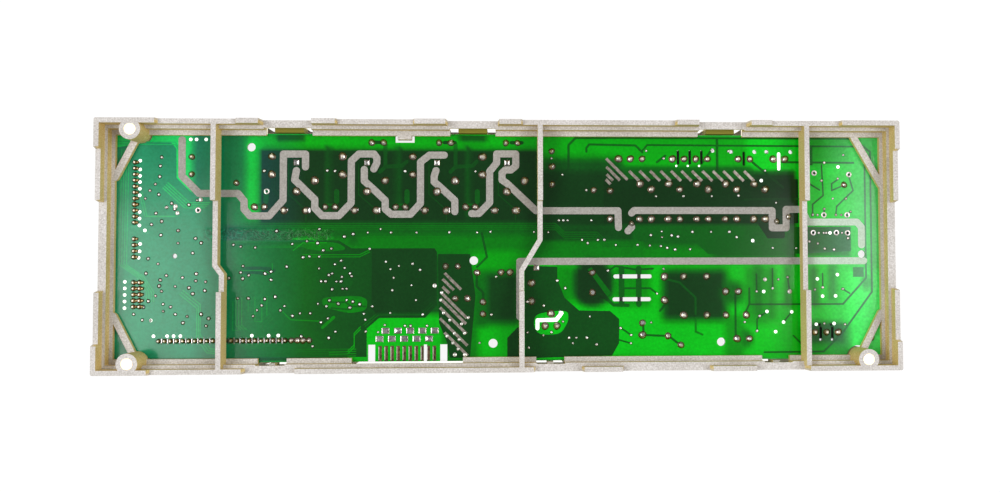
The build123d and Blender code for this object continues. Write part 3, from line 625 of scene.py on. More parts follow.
def spot(x, y, cx, cy, radius, width):
    """A soft-edged disc."""
    return soft(np.hypot(x - cx, y - cy), -1.0, radius, width)


# The mask's colour, red, green and blue, at each level of light.
GREENS = [(30, 6, 30, 8), (50, 10, 50, 16), (75, 7, 75, 18), (100, 3, 100, 14), (125, 1, 125, 10),
    (150, 1, 150, 10), (175, 1, 175, 18), (200, 1, 200, 30), (230, 6, 230, 50)]


def mask_colour_with_glare(x, level):
    """Mask colour for a level of green from 30 to 230, with a pale painted glare towards the two ends.
    """
    keys = [row[0] for row in GREENS]
    colour = np.column_stack([np.interp(level, keys, [lin(row[i]) for row in GREENS])
        for i in (1, 2, 3)])
    # Painted glare: a pale blue-green veil at the left end, a pale green one at the right.
    left_glare = np.interp(x, [-160, -130, -108, -84], [0.2, 0.18, 0.07, 0.0])[:, None]
    right_glare = np.interp(x, [136, 156], [0.0, 0.15])[:, None]
    colour = (colour * (1 - left_glare - right_glare) + left_glare * np.array([lin(60), lin(150), lin(196)])
        + right_glare * np.array([lin(165), lin(235), lin(212)]))
    return np.column_stack([colour, np.ones(len(x))])


def board_light(x, y, region=None):
    """How much green light comes through the bare laminate, from 30 to 230, at places in mm."""
    level = np.full(len(x), 112.0)

    def lay(mask, target):
        nonlocal level
        level = level * (1 - mask) + target * mask

    def lay_all(rows):
        """Each row: x from and to, y from and to, width of the soft edge, level."""
        for *area, target in rows:
            lay(patch(x, y, *area), target)

    lay_all([(-165, -131, 22, 49, 1, 207), (-131, -109, 20, 49, 2, 116)])
    lay(patch(x, y, -164, 16, 41.5, 49, 5) * (x > -109), 160)
    lay_all([(-109, -102, 12, 46, 3, 176), (-103.5, 15.5, 9.5, 41.5, 2.5, 50)])
    for gap in (-74.6, -44.9, -15.4):
        lay(patch(x, y, gap - 1, gap + 1, 12, 43, 2.5), 72)
    for hook in top_hooks:
        lay(patch(x, y, hook - 6, hook + 6, 44.5, 49, 2.5), 84)
    lay_all([(-118, 16, 1, 9, 3, 84), (-62, 16, -2, 5, 4, 110), (-14, 12, -10, -2, 3, 142),
        (-110, -20, -30, -4, 6, 76), (-110, -62, -49, -30, 5, 76), (-77, -57, -28.5, -20.5, 1, 114),
        (-90, -65, -3, 4, 1, 106), (-66, -26, -50, -29, 2, 170), (-11, 8, -50, -34, 4, 165),
        (-8, 6, -32, -12, 4, 56), (-12, -7, -34, -12, 4, 92)])
    # right half, above the lower line
    lay_all([(16, 127, 34, 49, 3, 155), (105, 127, 29, 49, 3, 192), (16, 51, 30, 38, 5, 74),
        (16, 127, 8.5, 32.5, 3, 52), (51, 108, 27, 34, 3, 80), (16, 56, 2, 9, 3, 64),
        (56, 127, -5, 9, 3, 84), (16, 60, -6, 2, 3, 108), (60, 90, -6, 0, 3, 116)])
    # right half, below the lower line
    lay_all([(8, 127, -50, -7.5, 1.5, 178)])
    lay(spot(x, y, 37.9, -16, 10, 4), 50)
    lay_all([(22, 30, -24, -8, 5, 122), (47, 63, -26, -8, 5, 128), (68, 96, -32, -10, 6, 54)])
    lay(spot(x, y, 98.5, -20, 5, 5), 92)
    lay(spot(x, y, 102.9, -39.9, 4, 4), 96)
    lay_all([(104, 114, -34, -9, 4, 140), (95, 103, -48, -30, 4, 132)])
    # right end
    lay_all([(127, 165, -49, 49, 2, 190), (148, 165, -49, -8, 6, 224), (148, 165, -10, 40, 6, 186),
        (127, 150, -49, -34, 4, 150), (129, 150, -5, 8, 3, 112), (129, 150, 36, 48, 5, 150),
        (131, 147, -42, -33, 4, 80)])
    for x0, x1, y0, y1 in ((108, 111, -30, -8), (114, 117, -32, -9), (121, 124, -26, -8),
            (132, 136, -26, -9), (140, 144, -24, -8), (155, 159, -19, -13)):
        lay(patch(x, y, x0, x1, y0, y1, 4) * 0.55, 70)     # shadows of parts behind the board
    return level


# ---------------------------------------------------------------- circuit board

def welded(name):
    """A copy of a CAD node's mesh with its touching corners joined."""
    source = bmesh.new()
    source.from_mesh(nodes[name].data)
    bmesh.ops.remove_doubles(source, verts=source.verts, dist=1e-6)
    return source


def board_loops():
    """Closed edge loops of the board's solder side, in mm, read from the frame."""
    source = welded("circuit_board")
    source.faces.ensure_lookup_table()
    top = [f for f in source.faces if f.normal.z > 0.9
        and abs(f.calc_center_median().z / MM - board_top) < 0.05]
    count = {}
    for f in top:
        for e in f.edges:
            count.setdefault(e, []).append(f)
    follow = {}
    for e, faces in count.items():
        if len(faces) == 1:
            a, b = e.verts
            follow.setdefault(a, []).append(b)
            follow.setdefault(b, []).append(a)
    loops, seen = [], set()
    for start in follow:
        if start in seen:
            continue
        loop, at, before = [start], start, None
        seen.add(start)
        while True:
            options = [v for v in follow[at] if v is not before and v not in seen]
            if not options:
                break
            before, at = at, options[0]
            seen.add(at)
            loop.append(at)
        loops.append([(v.co.x / MM, v.co.y / MM) for v in loop])
    source.free()
    return loops


def loop_facts(loop):
    spots = np.array(loop)
    centre = (spots.min(0) + spots.max(0)) / 2
    return centre, spots.max(0) - spots.min(0)


loops = sorted(board_loops(), key=lambda loop: -loop_facts(loop)[1][0])
outline = loops[0]
lead_spots, hole_loops = [], []
for loop in loops[1:]:
    centre, extent = loop_facts(loop)
    if len(loop) <= 5 and max(extent) < 2.0:
        lead_spots.append((centre[0], centre[1], extent[0]))
    elif abs(extent[0] - extent[1]) < 0.1 and max(extent) < 6.0:
        hole_loops.append(ring_points(centre[0], centre[1], extent[0] / 2, 28))
    else:
        hole_loops.append(loop)


mask_material = solder_mask()
board = flat_piece("board_laminate", [outline], hole_loops, board_bottom, board_top, mask_material,
    board_light, grid=1.7)
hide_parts("circuit_board")


# ---------------------------------------------------------------- copper under the mask

def front_light(x):
    """How green the mask looks over copper, where no light comes through, with a painted glare that
    makes it paler towards the left end.
    """
    return np.interp(x, [-164, -133, -107, -95, -82, -65, -30], [132, 126, 108, 97, 84, 70, 60])


def smooth_blob(points):
    """Cut the corners of a closed outline so that it reads as etched copper."""
    for _ in range(2):
        cut = []
        for (x0, y0), (x1, y1) in zip(points, points[1:] + points[:1]):
            cut += [(0.8 * x0 + 0.2 * x1, 0.8 * y0 + 0.2 * y1),
                (0.2 * x0 + 0.8 * x1, 0.2 * y0 + 0.8 * y1)]
        points = cut
    return points


# Each pour: how green it looks (None follows front_light, whose painted glare falls from left to
# right), outline in mm.
pours = [
    (None, [(-163.4, 41.8), (-150.3, 44.1), (-140.5, 44.2), (-138.2, 41.5), (-138, 29.1), (-131.9, 23),
        (-123.6, 23), (-123.6, 8), (-119.5, 2.6), (-70, 2.6), (-64.5, -0.8), (-29.5, -0.8),
        (-28.4, -2.5), (-28.4, -25), (-33.4, -30.3), (-52.8, -30.3), (-58, -34.8), (-58, -46.7),
        (-163.4, -46.7)]),
    (56, [(-56, -1.2), (-29.8, -1.2), (-29, -2.6), (-29, -24.6), (-33.6, -29.6), (-52.6, -29.6),
        (-56, -26.5)]),
    (58, [(-28, -3.3), (-14.4, -3.3), (-12.1, -21.1), (-14.4, -47.3), (-22.8, -47.3), (-24.2, -40.6),
        (-27.5, -32.6)]),
    (58, [(1.45, -47.8), (1.45, -39), (5.7, -34.6), (8.2, -34.6), (8.2, -47.8)]),
    (66, [(8.9, -8.4), (22.85, -8.8), (22.85, -14.3), (25.9, -22), (32.1, -27.5), (45.4, -27.8),
        (49.3, -31.2), (49.2, -41.5), (46.2, -46.8), (8.9, -47.7)]),
    (46, [(43, 28.9), (127.5, 28.9), (127.5, 9.8), (121.5, 9.8), (121.5, 3.2), (114, 3.2), (109.5, 9.8),
        (43, 9.8)]),
    (84, [(57.7, 8.2), (108.2, 8.2), (113.6, 3.2), (120.8, 3.2), (125.6, 8.2), (150.4, 8.2),
        (150.4, 4.2), (150.4, -2.4), (128, -3.4), (87.9, -3.4), (81.6, 2.2), (57.7, 2.2)]),
    (110, [(151.2, -9.3), (155.9, -9.3), (155.9, -13.5), (151.2, -13.5)]),
    (92, [(129.5, 35), (134, 35), (134, 43), (129.5, 43)]),
    (96, [(35.8, -10), (37.5, -9), (46, -20), (44.2, -21.6)]),
]
# Bare laminate inside the pours.
voids = [smooth_blob(corners) for corners in (
    [(-116, 1.4), (-85.2, 1.4), (-84, -0.6), (-116, -0.6)],
    [(-85, 1.9), (-70.5, 1.9), (-66, -1.4), (-75, -2.2), (-85, -0.8)],
    [(-111, -8.4), (-99, -8.4), (-95.5, -10), (-99, -12.4), (-106, -11.4), (-111, -12)],
    [(-74.5, -11), (-66, -9.6), (-63, -12), (-64.5, -17.4), (-71, -18.6), (-75, -16)],
    [(-77, -21.4), (-61.5, -20.8), (-57.6, -22.4), (-58.2, -27.2), (-66, -28.4), (-76.5, -25.4)],
    [(13.4, -29), (22, -27.6), (27.4, -27.8), (27.6, -32), (24.2, -37.6), (15, -37.8), (12.6, -34)],
    [(23.4, -9.6), (28, -9.6), (29.6, -16), (33, -19.6), (29.4, -20.6), (25.6, -16.4)],
)]


def parallel_runs(path, count, pitch, side):
    """The same run repeated at a pitch, moved square to its first leg; side 1 is to its left."""
    (x0, y0), (x1, y1) = path[0], path[1]
    length = math.hypot(x1 - x0, y1 - y0)
    nx, ny = -(y1 - y0) / length * side, (x1 - x0) / length * side
    return [[(x + nx * pitch * i, y + ny * pitch * i) for x, y in path] for i in range(count)]


trace_runs = []     # each: width, levels added to the light there, list of points


def traces(width, *paths, tint=0.0):
    trace_runs.extend((width, tint, path) for path in paths)


# Bundles of parallel tracks: width, tint, how many, pitch, side, and the first one's points.
bundles = [
    (0.42, 92, 4, 1, -1, [(-141.5, 27), (-132.4, 18.6), (-123.9, 18.6)]),
    (0.42, 84, 4, 1, 1, [(-160.8, 41.2), (-161.2, -7.5), (-154, -12.5), (-149.8, -19), (-149.8, -23)]),
    (0.42, 84, 3, 1.1, 1, [(-136.1, -20), (-128.9, -26), (-128.9, -38.5), (-124.6, -44.6),
        (-119, -45)]),
    (0.42, 84, 2, 0.9, -1, [(-152.2, 22.6), (-150, 12.9), (-138, 12.9)]),
    (0.42, 70, 3, 1.2, 1, [(-112.7, -21.6), (-112.7, -33), (-110.6, -35)]),
    (0.42, 84, 2, 1, 1, [(-163, 43.4), (-138.6, 43.2), (-137.2, 41), (-137.2, 33)]),
    (0.42, 34, 4, 0.95, -1, [(-118, -43.4), (-62.5, -43.4)]),
    (0.42, 32, 4, 0.9, -1, [(-112, 9.8), (22, 9.8), (26, 6), (40, 6)]),
    (0.42, 24, 4, 0.9, -1, [(40, 6), (44.5, 1.8), (57, 1.8)]),
    (0.42, 44, 4, 1.3, 1, [(-100, -27.5), (-104, -31.5), (-104, -41)]),
    (0.42, 50, 2, 1, 1, [(-73.6, -45.7), (-66, -45.4), (-63.2, -42.6), (-63.2, -37.7), (-60.6, -35)]),
    (0.55, 0, 2, 0.9, 1, [(-58.6, -33.8), (-53.1, -29), (-34.4, -29), (-30.2, -24.8)]),
    (0.42, 36, 2, 0.9, 1, [(-60.8, 1.4), (-58, 3.5), (-21, 3.5)]),
    (0.42, 50, 2, 0.9, 1, [(-85, -4.4), (-61.2, -4.4), (-57, -2.4)]),
]
for width, tint, count, pitch, side, path in bundles:
    traces(width, *parallel_runs(path, count, pitch, side), tint=tint)
traces(0.42, [(-114, -23), (-114, -35.2), (-111.6, -35.2), (-111.6, -23)], [(-107.6, -22.3),
    (-107.6, -27.3)], [(-104.8, -21.6), (-104.8, -31.6), (-101.9, -31.6), (-101.9, -21.6)],
    [(-99.8, -20.8), (-99.8, -28.7)], [(-110.5, -10.1), (-101.9, -10.1), (-97.7, -11.5), (-97.7, -7.2)],
    [(-93.4, -27.3), (-89.9, -30.9), (-76.4, -31.6)], [(-89, 3.2), (-80.6, 3.2), (-77.8, 0.4)],
    [(-89, -1.6), (-84.9, 1.6), (-75, 1.6)], tint=62)
traces(1.3, [(-76.6, -34.2), (-71.8, -29.9)], tint=60)
traces(0.7, [(-73.2, -23.6), (-67, -23.6), (-64.4, -25.4), (-58.6, -25.4)],
    [(-72.8, -26), (-66, -26.6)], tint=8)
traces(0.55, *parallel_runs([(-98, 33.2), (-98, 24), (-91, 17)], 2, 1, 1))
for left in (-91.2, -61.7, -31.9, -2.4):
    # the coil's switched lead and its clamp, on each power relay
    traces(0.45, [(left, 35), (left, 22.2), (left + 7.4, 15.6), (left + 9.6, 15.6)], tint=10)
    traces(0.45, [(left + 7.4, 15.6), (left + 7.4, 10.2)], tint=10)
for shift in (0.0, 29.8):
    traces(1.7, [(-52.6 + shift, 31.8), (-50.4 + shift, 34), (-50.4 + shift, 43.6)], tint=16)
    traces(1.7, [(-50.4 + shift, 34), (-43.2 + shift, 34.4), (-41.4 + shift, 36.2)], tint=12)
for x in (-100.6, -70.9, -41.2, -11.3):
    traces(2.2, [(x, 19.2), (x, 23.4)], tint=24)
    traces(0.9, [(x, 17.8), (x - 4.6, 17.8)], tint=24)
for x in (-55.0, -25.4, 3.2):
    traces(1.5, [(x, 44.4), (x + 4.6, 44.4)], tint=-20)
# right of the middle rib
traces(1, [(43.6, 46.6), (30.9, 46.6), (27.8, 43.5), (27.8, 33.3), (22.4, 27.4)])
traces(0.9, [(59.7, 40.4), (56.7, 43.4), (36.7, 43.8), (35.5, 42.3), (35.5, 40.6)])
traces(0.8, [(59.7, 41.1), (61.8, 43.6), (154.5, 43.2), (156.9, 40.4), (156.9, -14), (146.6, -25.2),
    (105.6, -25.2), (103.6, -29.4)])
traces(0.8, [(43.6, 46.6), (152, 46.6), (159.4, 41), (159.4, -20), (146, -38), (138, -45.6),
    (112, -45.8)])
traces(1.1, [(92.2, 46.4), (92.2, 32.6)])
traces(1, [(66, 36.2), (69.6, 39)], [(86, 36.4), (89.6, 41.2)], [(107.8, 36.1), (121, 25.3)])
traces(0.9, [(104, 20.1), (127.5, 20.4)], [(120.6, 36.3), (152, 36.1)])
traces(0.9, [(68.6, -14), (75.5, -15.7), (82.3, -22.2), (82.3, -36.8), (85.2, -38.1)], tint=22)
traces(0.9, [(88.7, -13.5), (94.2, -18.7)], [(69.5, -23.9), (75.9, -29.9)],
    [(69.1, -25.2), (66.9, -27.8)], [(75.9, -30), (86.6, -30)], [(87, -30), (95, -30)])
traces(0.9, [(59.7, -32.9), (59.7, -38.1), (70.6, -38.6), (75.5, -42.4)],
    [(99.6, -20.9), (99.6, -39.4)], [(105.7, -18.3), (105.7, -25.2)])
traces(0.8, [(49.5, -18.1), (62.7, -18.1), (65.7, -20.4)], [(44.8, -10.5), (47.8, -8.6), (56.7, -10.1),
    (64, -9.7)])
traces(1.4, [(41.4, -20.4), (47, -25.2), (53.2, -25.4)])
traces(2.4, [(50.4, -9.6), (50.4, -25)], [(57.8, -9.6), (57.8, -25)])
traces(0.7, [(49.9, -35.1), (52, -36.4), (54.4, -38.1)], [(49.4, -40.2), (54.3, -41.6)])
traces(0.7, [(137.9, 35.2), (138.5, 21.8), (133.8, 18), (133.8, 14.1)], [(150, 30), (151.7, 24),
    (144.4, 17.1), (144, 14)], [(144.9, 28.7), (142.3, 27), (142.3, 24), (147.4, 26.2)],
    [(132.4, 27), (137, 24.2)], [(138.9, 16), (138.7, 13.4)], [(150.5, 14.8), (148.9, 13.4)],
    [(131.7, 42), (131.7, 36.3), (138, 36.3)], [(124.7, -38.7), (128.2, -42.2)],
    [(115.9, -9.8), (115.9, -18.3)], [(108.9, -12.2), (108.9, -19.6)], [(122.5, -13.5), (123.3, -19.7)],
    [(113.3, -28.3), (109, -31.4), (108.9, -36.6)], [(124.1, -28.5), (120.5, -32.9)],
    [(137.8, -12), (137.8, -18)], [(146.6, -18.7), (149.6, -20.6)])
# between the bars and the middle rib
traces(1, [(-11.4, -11.4), (-11.6, -17), (-8.8, -19.8), (-8.8, -23.4)])
traces(0.9, [(-9.4, 5.6), (-7.2, -4.6), (-11.4, -8.8)], [(-2.6, -11), (2.4, -11)])


def divide(path, longest=2.0):
    """Add points along each leg, so that the light can change along it."""
    fine = [path[0]]
    for (x0, y0), (x1, y1) in zip(path, path[1:]):
        count = max(1, math.ceil(math.hypot(x1 - x0, y1 - y0) / longest))
        fine += [(x0 + (x1 - x0) * i / count, y0 + (y1 - y0) * i / count) for i in range(1, count + 1)]
    return fine


def trace_light(x, y, region):
    tint = np.array(trace_tints)[region]
    return np.minimum(0.36 * board_light(x, y) + 36.0, 92.0) + tint


def pour_light(x, y, region):
    level = front_light(x)
    for index, (base, _) in enumerate(pours):
        if base is not None:
            level = np.where(region == index, base, level)
    return level


slot_clearance = [rectangle(-27.1, -23.9, -50.0, -41.4), rectangle(-57.5, -54.3, -50.0, -41.4)]
flat_piece("copper_pours", [loop for _, loop in pours], voids + slot_clearance + hole_loops, board_top,
    board_top + POUR_HEIGHT, mask_material, pour_light, grid=3.0)
trace_loops, trace_tints = [], []
for width, tint, path in trace_runs:
    for loop in strip(divide(path), width, 5):
        trace_loops.append(loop)
        trace_tints.append(tint)
flat_piece("copper_traces", trace_loops, hole_loops, board_top, board_top + TRACE_HEIGHT, mask_material,
    trace_light)


# ---------------------------------------------------------------- solder joints

def lathe(verts, faces, x, y, profile, count=14, wobble=0.0, turn=0.0):
    """Add a turned form: profile is (radius, height) from the foot up, in mm above the board."""
    first = len(verts)
    for radius, height in profile:
        for i in range(count):
            a = 2 * math.pi * i / count
            r = radius * (1 + wobble * math.sin(2 * a + turn) + wobble * 0.6 * math.sin(3 * a - turn))
            verts.append(((x + r * math.cos(a)) * MM, (y + r * math.sin(a)) * MM,
                (board_top + height) * MM))
    rings = len(profile)
    for ring in range(rings - 1):
        for i in range(count):
            j = (i + 1) % count
            low, high = first + ring * count, first + (ring + 1) * count
            faces.append((low + i, low + j, high + j, high + i))
    faces.append(tuple(first + (rings - 1) * count + i for i in range(count)))
    faces.append(tuple(first + i for i in reversed(range(count))))


def mesh_piece(name, verts, faces, mat, smooth=True):
    mesh = bpy.data.meshes.new(name)
    mesh.from_pydata(verts, [], faces)
    if smooth:
        mesh.shade_smooth()
    return add_piece(name, mesh, mat)


chance = random.Random(7)       # the order of its draws is part of the look
verts, faces = [], []
strip_pins = []      # the close-set pins at the left end have small brown joints
# Joints of small parts that have no hole in the CAD board.
small_joints = [(-24.8, -8.5), (-19.6, -8.5), (-20.7, -22.2), (-15.5, -22.2), (-11.4, -11.2),
    (-1.2, -11.1), (2.6, -11.1), (20.6, 40.8), (20.7, 34.2), (20.7, 26.6), (38.6, 24.1), (45.7, 23.8),
    (-113, 27), (54.9, 9.6), (45.7, 11.7), (117.9, 10.6), (123.1, 12.6), (147.8, 26.5), (158.8, -39.9)]
for x, y, hole in lead_spots + [(x, y, 0.9) for x, y in small_joints]:
    if x < -92 and (x < -150 or y < -36):
        strip_pins.append((x, y))
        continue
    pad = 0.62 * hole + 0.72
    tip = 0.42 * hole
    scale = chance.uniform(0.92, 1.1)
    peak = chance.uniform(0.7, 1.1)
    profile = [(pad * 1.12 * scale, 0.0), (pad * 1.12 * scale, 0.07), (pad * 0.98 * scale, 0.1),
        (pad * 0.9 * scale, 0.3 * peak), (pad * 0.74 * scale, 0.62 * peak),
        (pad * 0.5 * scale, 0.88 * peak), (tip, 1.0 * peak), (tip * 0.7, 1.14 * peak)]
    lathe(verts, faces, x, y, profile, 16, 0.05, chance.uniform(0, 6.3))
mesh_piece("solder_joints", verts, faces, joint_solder("solder", tone(112, 96, 78), tone(150, 140, 128),
    tone(232, 228, 220), 0.1, 0.75))

verts, faces = [], []
for x, y in strip_pins:
    scale = chance.uniform(0.95, 1.1)
    lathe(verts, faces, x, y, [(1.12 * scale, 0.0), (1.12 * scale, 0.08), (0.95 * scale, 0.3),
        (0.6 * scale, 0.75), (0.42, 1.0), (0.3, 1.25)], 14, 0.04, chance.uniform(0, 6.3))
    if x < -150:
        lathe(verts, faces, x + 1.15, y, [(0.72 * scale, 0.0), (0.72 * scale, 0.1), (0.6 * scale, 0.5),
            (0.3, 0.95)], 12, 0.05)
mesh_piece("pin_joints", verts, faces, joint_solder("pin_solder", tone(66, 50, 34), tone(150, 118, 76),
    tone(226, 200, 150), 0.2, 0.95, 0.28))

# Vias filled with solder, grouped by the part of the board they serve.
via_groups = {
    "display": [(-144.7, 34.1), (-144.9, 29.6), (-146.7, 26.4), (-148.9, 23.7), (-150.8, 20.3),
        (-145.2, 22), (-144.2, 37.8), (-146.3, 14.1), (-143.9, 10.7), (-148.1, 9.4), (-144.2, 4.9),
        (-137, 6.8), (-137, 1.5), (-129.8, 3.5), (-127.4, 1.6), (-130.9, -2.7), (-141.9, 16.6),
        (-139.8, 18.3), (-138.5, 15.9), (-129.3, 19.6), (-132.7, 17.7)],
    "keys": [(-149.3, -5), (-145.2, -7.2), (-150.1, -11.2), (-144.2, -14), (-141.7, -12.1), (-135, -13),
        (-129.3, -11.4), (-144.6, -16.5), (-138, -16.7), (-132.3, -17.3), (-129.5, -14.4),
        (-125.4, -14.8), (-143.6, -18.7), (-146.1, -20.6), (-130.7, -19.8), (-125.7, -18.5),
        (-149, -22.8), (-142.9, -24.1), (-139.8, -25.3), (-142.8, -27.1), (-137.8, -28.4),
        (-132.9, -29.3), (-151.4, -30.7), (-148, -30.9), (-134.6, -32), (-127.1, -28.4), (-124, -30.2),
        (-125, -33.3), (-151.1, -25.3), (-155, -28.3)],
    "controller": [(-114, 0.8), (-110.9, 0), (-104.9, -0.4), (-109.9, -8.2), (-110.9, -10.9),
        (-107.5, -12.1), (-110, -13.5), (-115.8, -13.3), (-100.7, -11.4), (-98.2, -10.6), (-98.2, -14),
        (-91.7, -8.5), (-89.4, 1.1), (-84.9, -4.6), (-82.2, -4.2), (-83.3, 2.3), (-78.8, 1.5),
        (-76.4, -1.6), (-73, -0.9), (-78.1, -4.3), (-78.1, -9.3), (-78.1, 7.4), (-96, 6.6), (-68.9, -6),
        (-71.5, -7.5), (-67.4, -9.1), (-72.6, -11.4), (-65.1, -11.4), (-74, -12.1), (-68.5, -12.9),
        (-64.4, -12.6), (-70.8, -14.8), (-68.9, -14.8), (-77.2, -14.7), (-75.4, -14.7), (-68.2, -17.9),
        (-66.5, -17.9), (-72.6, -18.1)],
    "port": [(-73.7, -22.8), (-78.5, -24.2), (-70, -24.2), (-75, -25.3), (-66.5, -22.7), (-63.9, -23.4),
        (-65.1, -25.9), (-92.5, -25.1), (-94.2, -26.9), (-96.4, -21.2), (-100.7, -22.1), (-102, -24.8),
        (-103.9, -26.8), (-105.5, -29.3), (-107.6, -21.8), (-112, -21.8), (-89.1, -29.3), (-86, -28.2),
        (-81.7, -28.2), (-74.3, -30.4), (-77.2, -32), (-71.1, -36), (-73.9, -38.6), (-85.4, -37.9),
        (-80.6, -42.1), (-61, -24.5), (-59.2, -28.5), (-58.6, -31), (-55.7, -25.4), (-58.4, -36),
        (-53.2, -36.3), (-50.4, -33.3), (-41.9, -33.7), (-39.5, -33.7), (-32.6, -33.7)],
    "relay_row": [(-67.6, 4.2), (-63.9, 5.3), (-57.7, 5.9), (-52.3, 7.4), (-47.9, 5.9), (-37.1, 5.9),
        (-23.2, 6), (-11.4, 5.9), (-5.7, 6.2), (12.9, 6.1), (19, 6), (-101.4, 32.1), (-71.7, 32.1),
        (-42, 32.1), (-12.1, 32.1), (-74.9, 32.3)],
    "ground": [(-56.9, -1), (-50, -6.5), (-48.1, -9.6), (-44.5, -8.3), (-38.8, -7.4), (-35.6, -10),
        (-46.7, -13.3), (-47.3, -18.6), (-39.2, -16.5), (-37.3, -22.8), (-48.1, -28.2), (-34.4, -28.9)],
    "supply": [(-3.3, -13), (-5.3, -29.1), (-10.3, -41.1), (10, -23.7), (17, -25.4), (10, -36.8),
        (20.3, -36.7), (16.8, -38), (25.2, -32.2), (36.7, -30.1), (35.4, -39.1), (39.6, -42),
        (29.4, -41.4), (27.8, -39.1), (30.9, -39.1), (10.6, -43.2), (22.8, -14.7), (26.2, -17.9),
        (49.9, -35.1), (54.4, -38.1), (54.3, -41.6), (44.6, -10.5), (68.6, -9.8), (65.7, -20.4),
        (63.1, -32.8), (103.6, -32.8), (110.1, -30.2)],
    "relay_coils": [(20.4, 37.7), (25.1, 30.7), (35.4, 24.1), (37.5, 11.1), (33.5, 2.7), (35.9, 1.3),
        (40.3, 2.7), (43.1, 2.7), (23.6, 11.1), (25.5, 11.1), (27.3, 11.1), (48, 0.5), (57.4, 0.5),
        (62.7, 0.3), (67.5, 0), (70.2, -0.8), (73.6, -1.5), (80.1, -1.4), (63.2, 4.7), (67.9, 6.3),
        (68, 3.8), (72.2, 4.6), (74.9, 4.1), (81.2, 6.1), (89.3, 6.1), (97.3, 6.1), (100.4, 3.8),
        (116.1, -0.9), (126.4, -1), (61.4, 41.1), (68.9, 37.8), (89.7, 41.4), (97.2, 41.1),
        (113.1, 32.6), (101.4, 21.8), (117.8, 18.7), (65.5, 21.5), (77.4, 21.5), (89.7, 21.5)],
    "lamp": [(122.5, -13.5), (118.4, -14.5), (115.9, -18.3), (108.9, -19.6), (108.9, -36.6),
        (132.4, 27), (137.8, 28.3), (142.7, 20.5), (148.5, 20.5), (130.3, 18.8), (138.9, 16),
        (150.5, 14.8), (133.8, 13.4), (135.9, 13.4), (144, 13.4), (146.4, 13.4), (136.3, 5.6),
        (138.5, 5.6), (139.7, 5.6), (146.6, 5.6), (149.2, 3.3), (135.9, 1), (132.1, 1.9), (138.9, -1.3),
        (143, -1.6), (137.8, -18), (134.4, -18.9), (146.6, -18.7), (138.3, -33.6), (147.4, -34),
        (147.6, 39.5), (139.1, 36.1), (145, 29.2)],
}
# Drilled holes with nothing behind them: light shines straight through.
lit_holes = [(-153.1, y) for y in (36.3, 32.6, 29.9, 27.3, 24.5, 21.7, 14.7, 11.9, 9)]
lit_holes += [(-150.8, 6.9), (-152.7, 1.2), (-152.9, -1.9), (-153.3, -4.6)]
lit_holes += [(-158.8, -14.7 - 2.75 * i) for i in range(5)]
lit_holes += [(x, -37.5) for x in (-146.7, -141.1, -138.4, -135.6, -106, -99, -95)]
lit_holes += [(-132.2, 45.4), (-129.8, 45.4), (-125.8, 45.4), (-147.9, -30.9), (-141.9, 16.6),
    (111.4, 28.3), (107.4, 2.3), (113.3, -28.3), (124.1, -28.5), (117, -37), (120.5, -32.9),
    (112, -19.7), (145.2, 34.3), (141.3, 5.6), (135.5, -14.3), (144.3, -12.5), (137.7, -21.8),
    (143.4, -21.7), (134.8, -33.9), (142.6, -33.6)]
# Larger tinned spots: the wave solder stands up bright in them.
bright_spots = [(123.3, -19.7), (112.6, -14.5), (59.7, -32.9), (-137.4, 14.2), (-29.4, -16.7),
    (-127.8, 19.9), (-138.3, 17), (-20.8, -46), (-16.5, -46)]
bar_beads = [(-25.6, -28.3), (-22.9, -31.3), (-18, -33), (-16.7, -36.9), (-21, -36.9), (-24.1, -38.1),
    (-19, -39.5), (-21.6, -41), (-19.4, -43.6), (-26.4, -19.7), (-15.2, -30.3), (-26.8, -22.8)]
rings = [(-100.3, 23.4), (134.6, 31.6), (149.9, 31), (138.7, 13.4), (148.9, 13.4), (133.9, 5.7),
    (144.1, 5.7), (149, 5.6), (-128.8, 15.4)]
verts, faces = [], []
for group in via_groups.values():
    for x, y in group:
        size = chance.uniform(0.4, 0.56)
        # The dark foot round each via is painted shadow, wider towards the left end.
        foot = size * (1.7 if x < -60 else 1.4)
        lathe(verts, faces, x, y, [(foot, 0.0), (foot, 0.085), (size, 0.1), (size * 0.85, 0.26),
            (size * 0.45, 0.36)], 10, 0.06, chance.uniform(0, 6.3))
for x, y in bright_spots:
    size = chance.uniform(0.8, 0.95)
    lathe(verts, faces, x, y, [(size * 1.1, 0.0), (size * 1.1, 0.09), (size, 0.2), (size * 0.8, 0.34),
        (size * 0.4, 0.44)], 14)
for x, y in rings:
    lathe(verts, faces, x, y, [(1.25, 0.0), (1.25, 0.1), (1.15, 0.22), (0.7, 0.22), (0.55, 0.04)], 16)
for x, y in bar_beads:
    lathe(verts, faces, x, y, [(0.75, 0.1), (0.72, 0.3), (0.5, 0.5), (0.2, 0.58)], 12, 0.08)
mesh_piece("vias", verts, faces, via_solder())

verts, faces = [], []
for x, y in lit_holes:
    lathe(verts, faces, x, y, [(0.72, 0.0), (0.7, LIT_HOLE_HEIGHT)], 16)
for x in (74.4, 79.4, 84.3):
    lathe(verts, faces, x, 34.6, [(0.45, 0.0), (0.43, LIT_HOLE_HEIGHT)], 12)
mesh_piece("lit_holes", verts, faces, lit_hole(), smooth=False)

# The clear slots between live parts, with light straight through them.
slots = strip([(119.15, 33.4), (119.15, 39.9)], 1.35)
slots += strip([(14.3, -35), (14.3, -31.6), (22.4, -31.4), (24.6, -28.6)], 1.6)
flat_piece("lit_slots", slots, [], board_top, board_top + LIT_SLOT_HEIGHT, lit_hole())


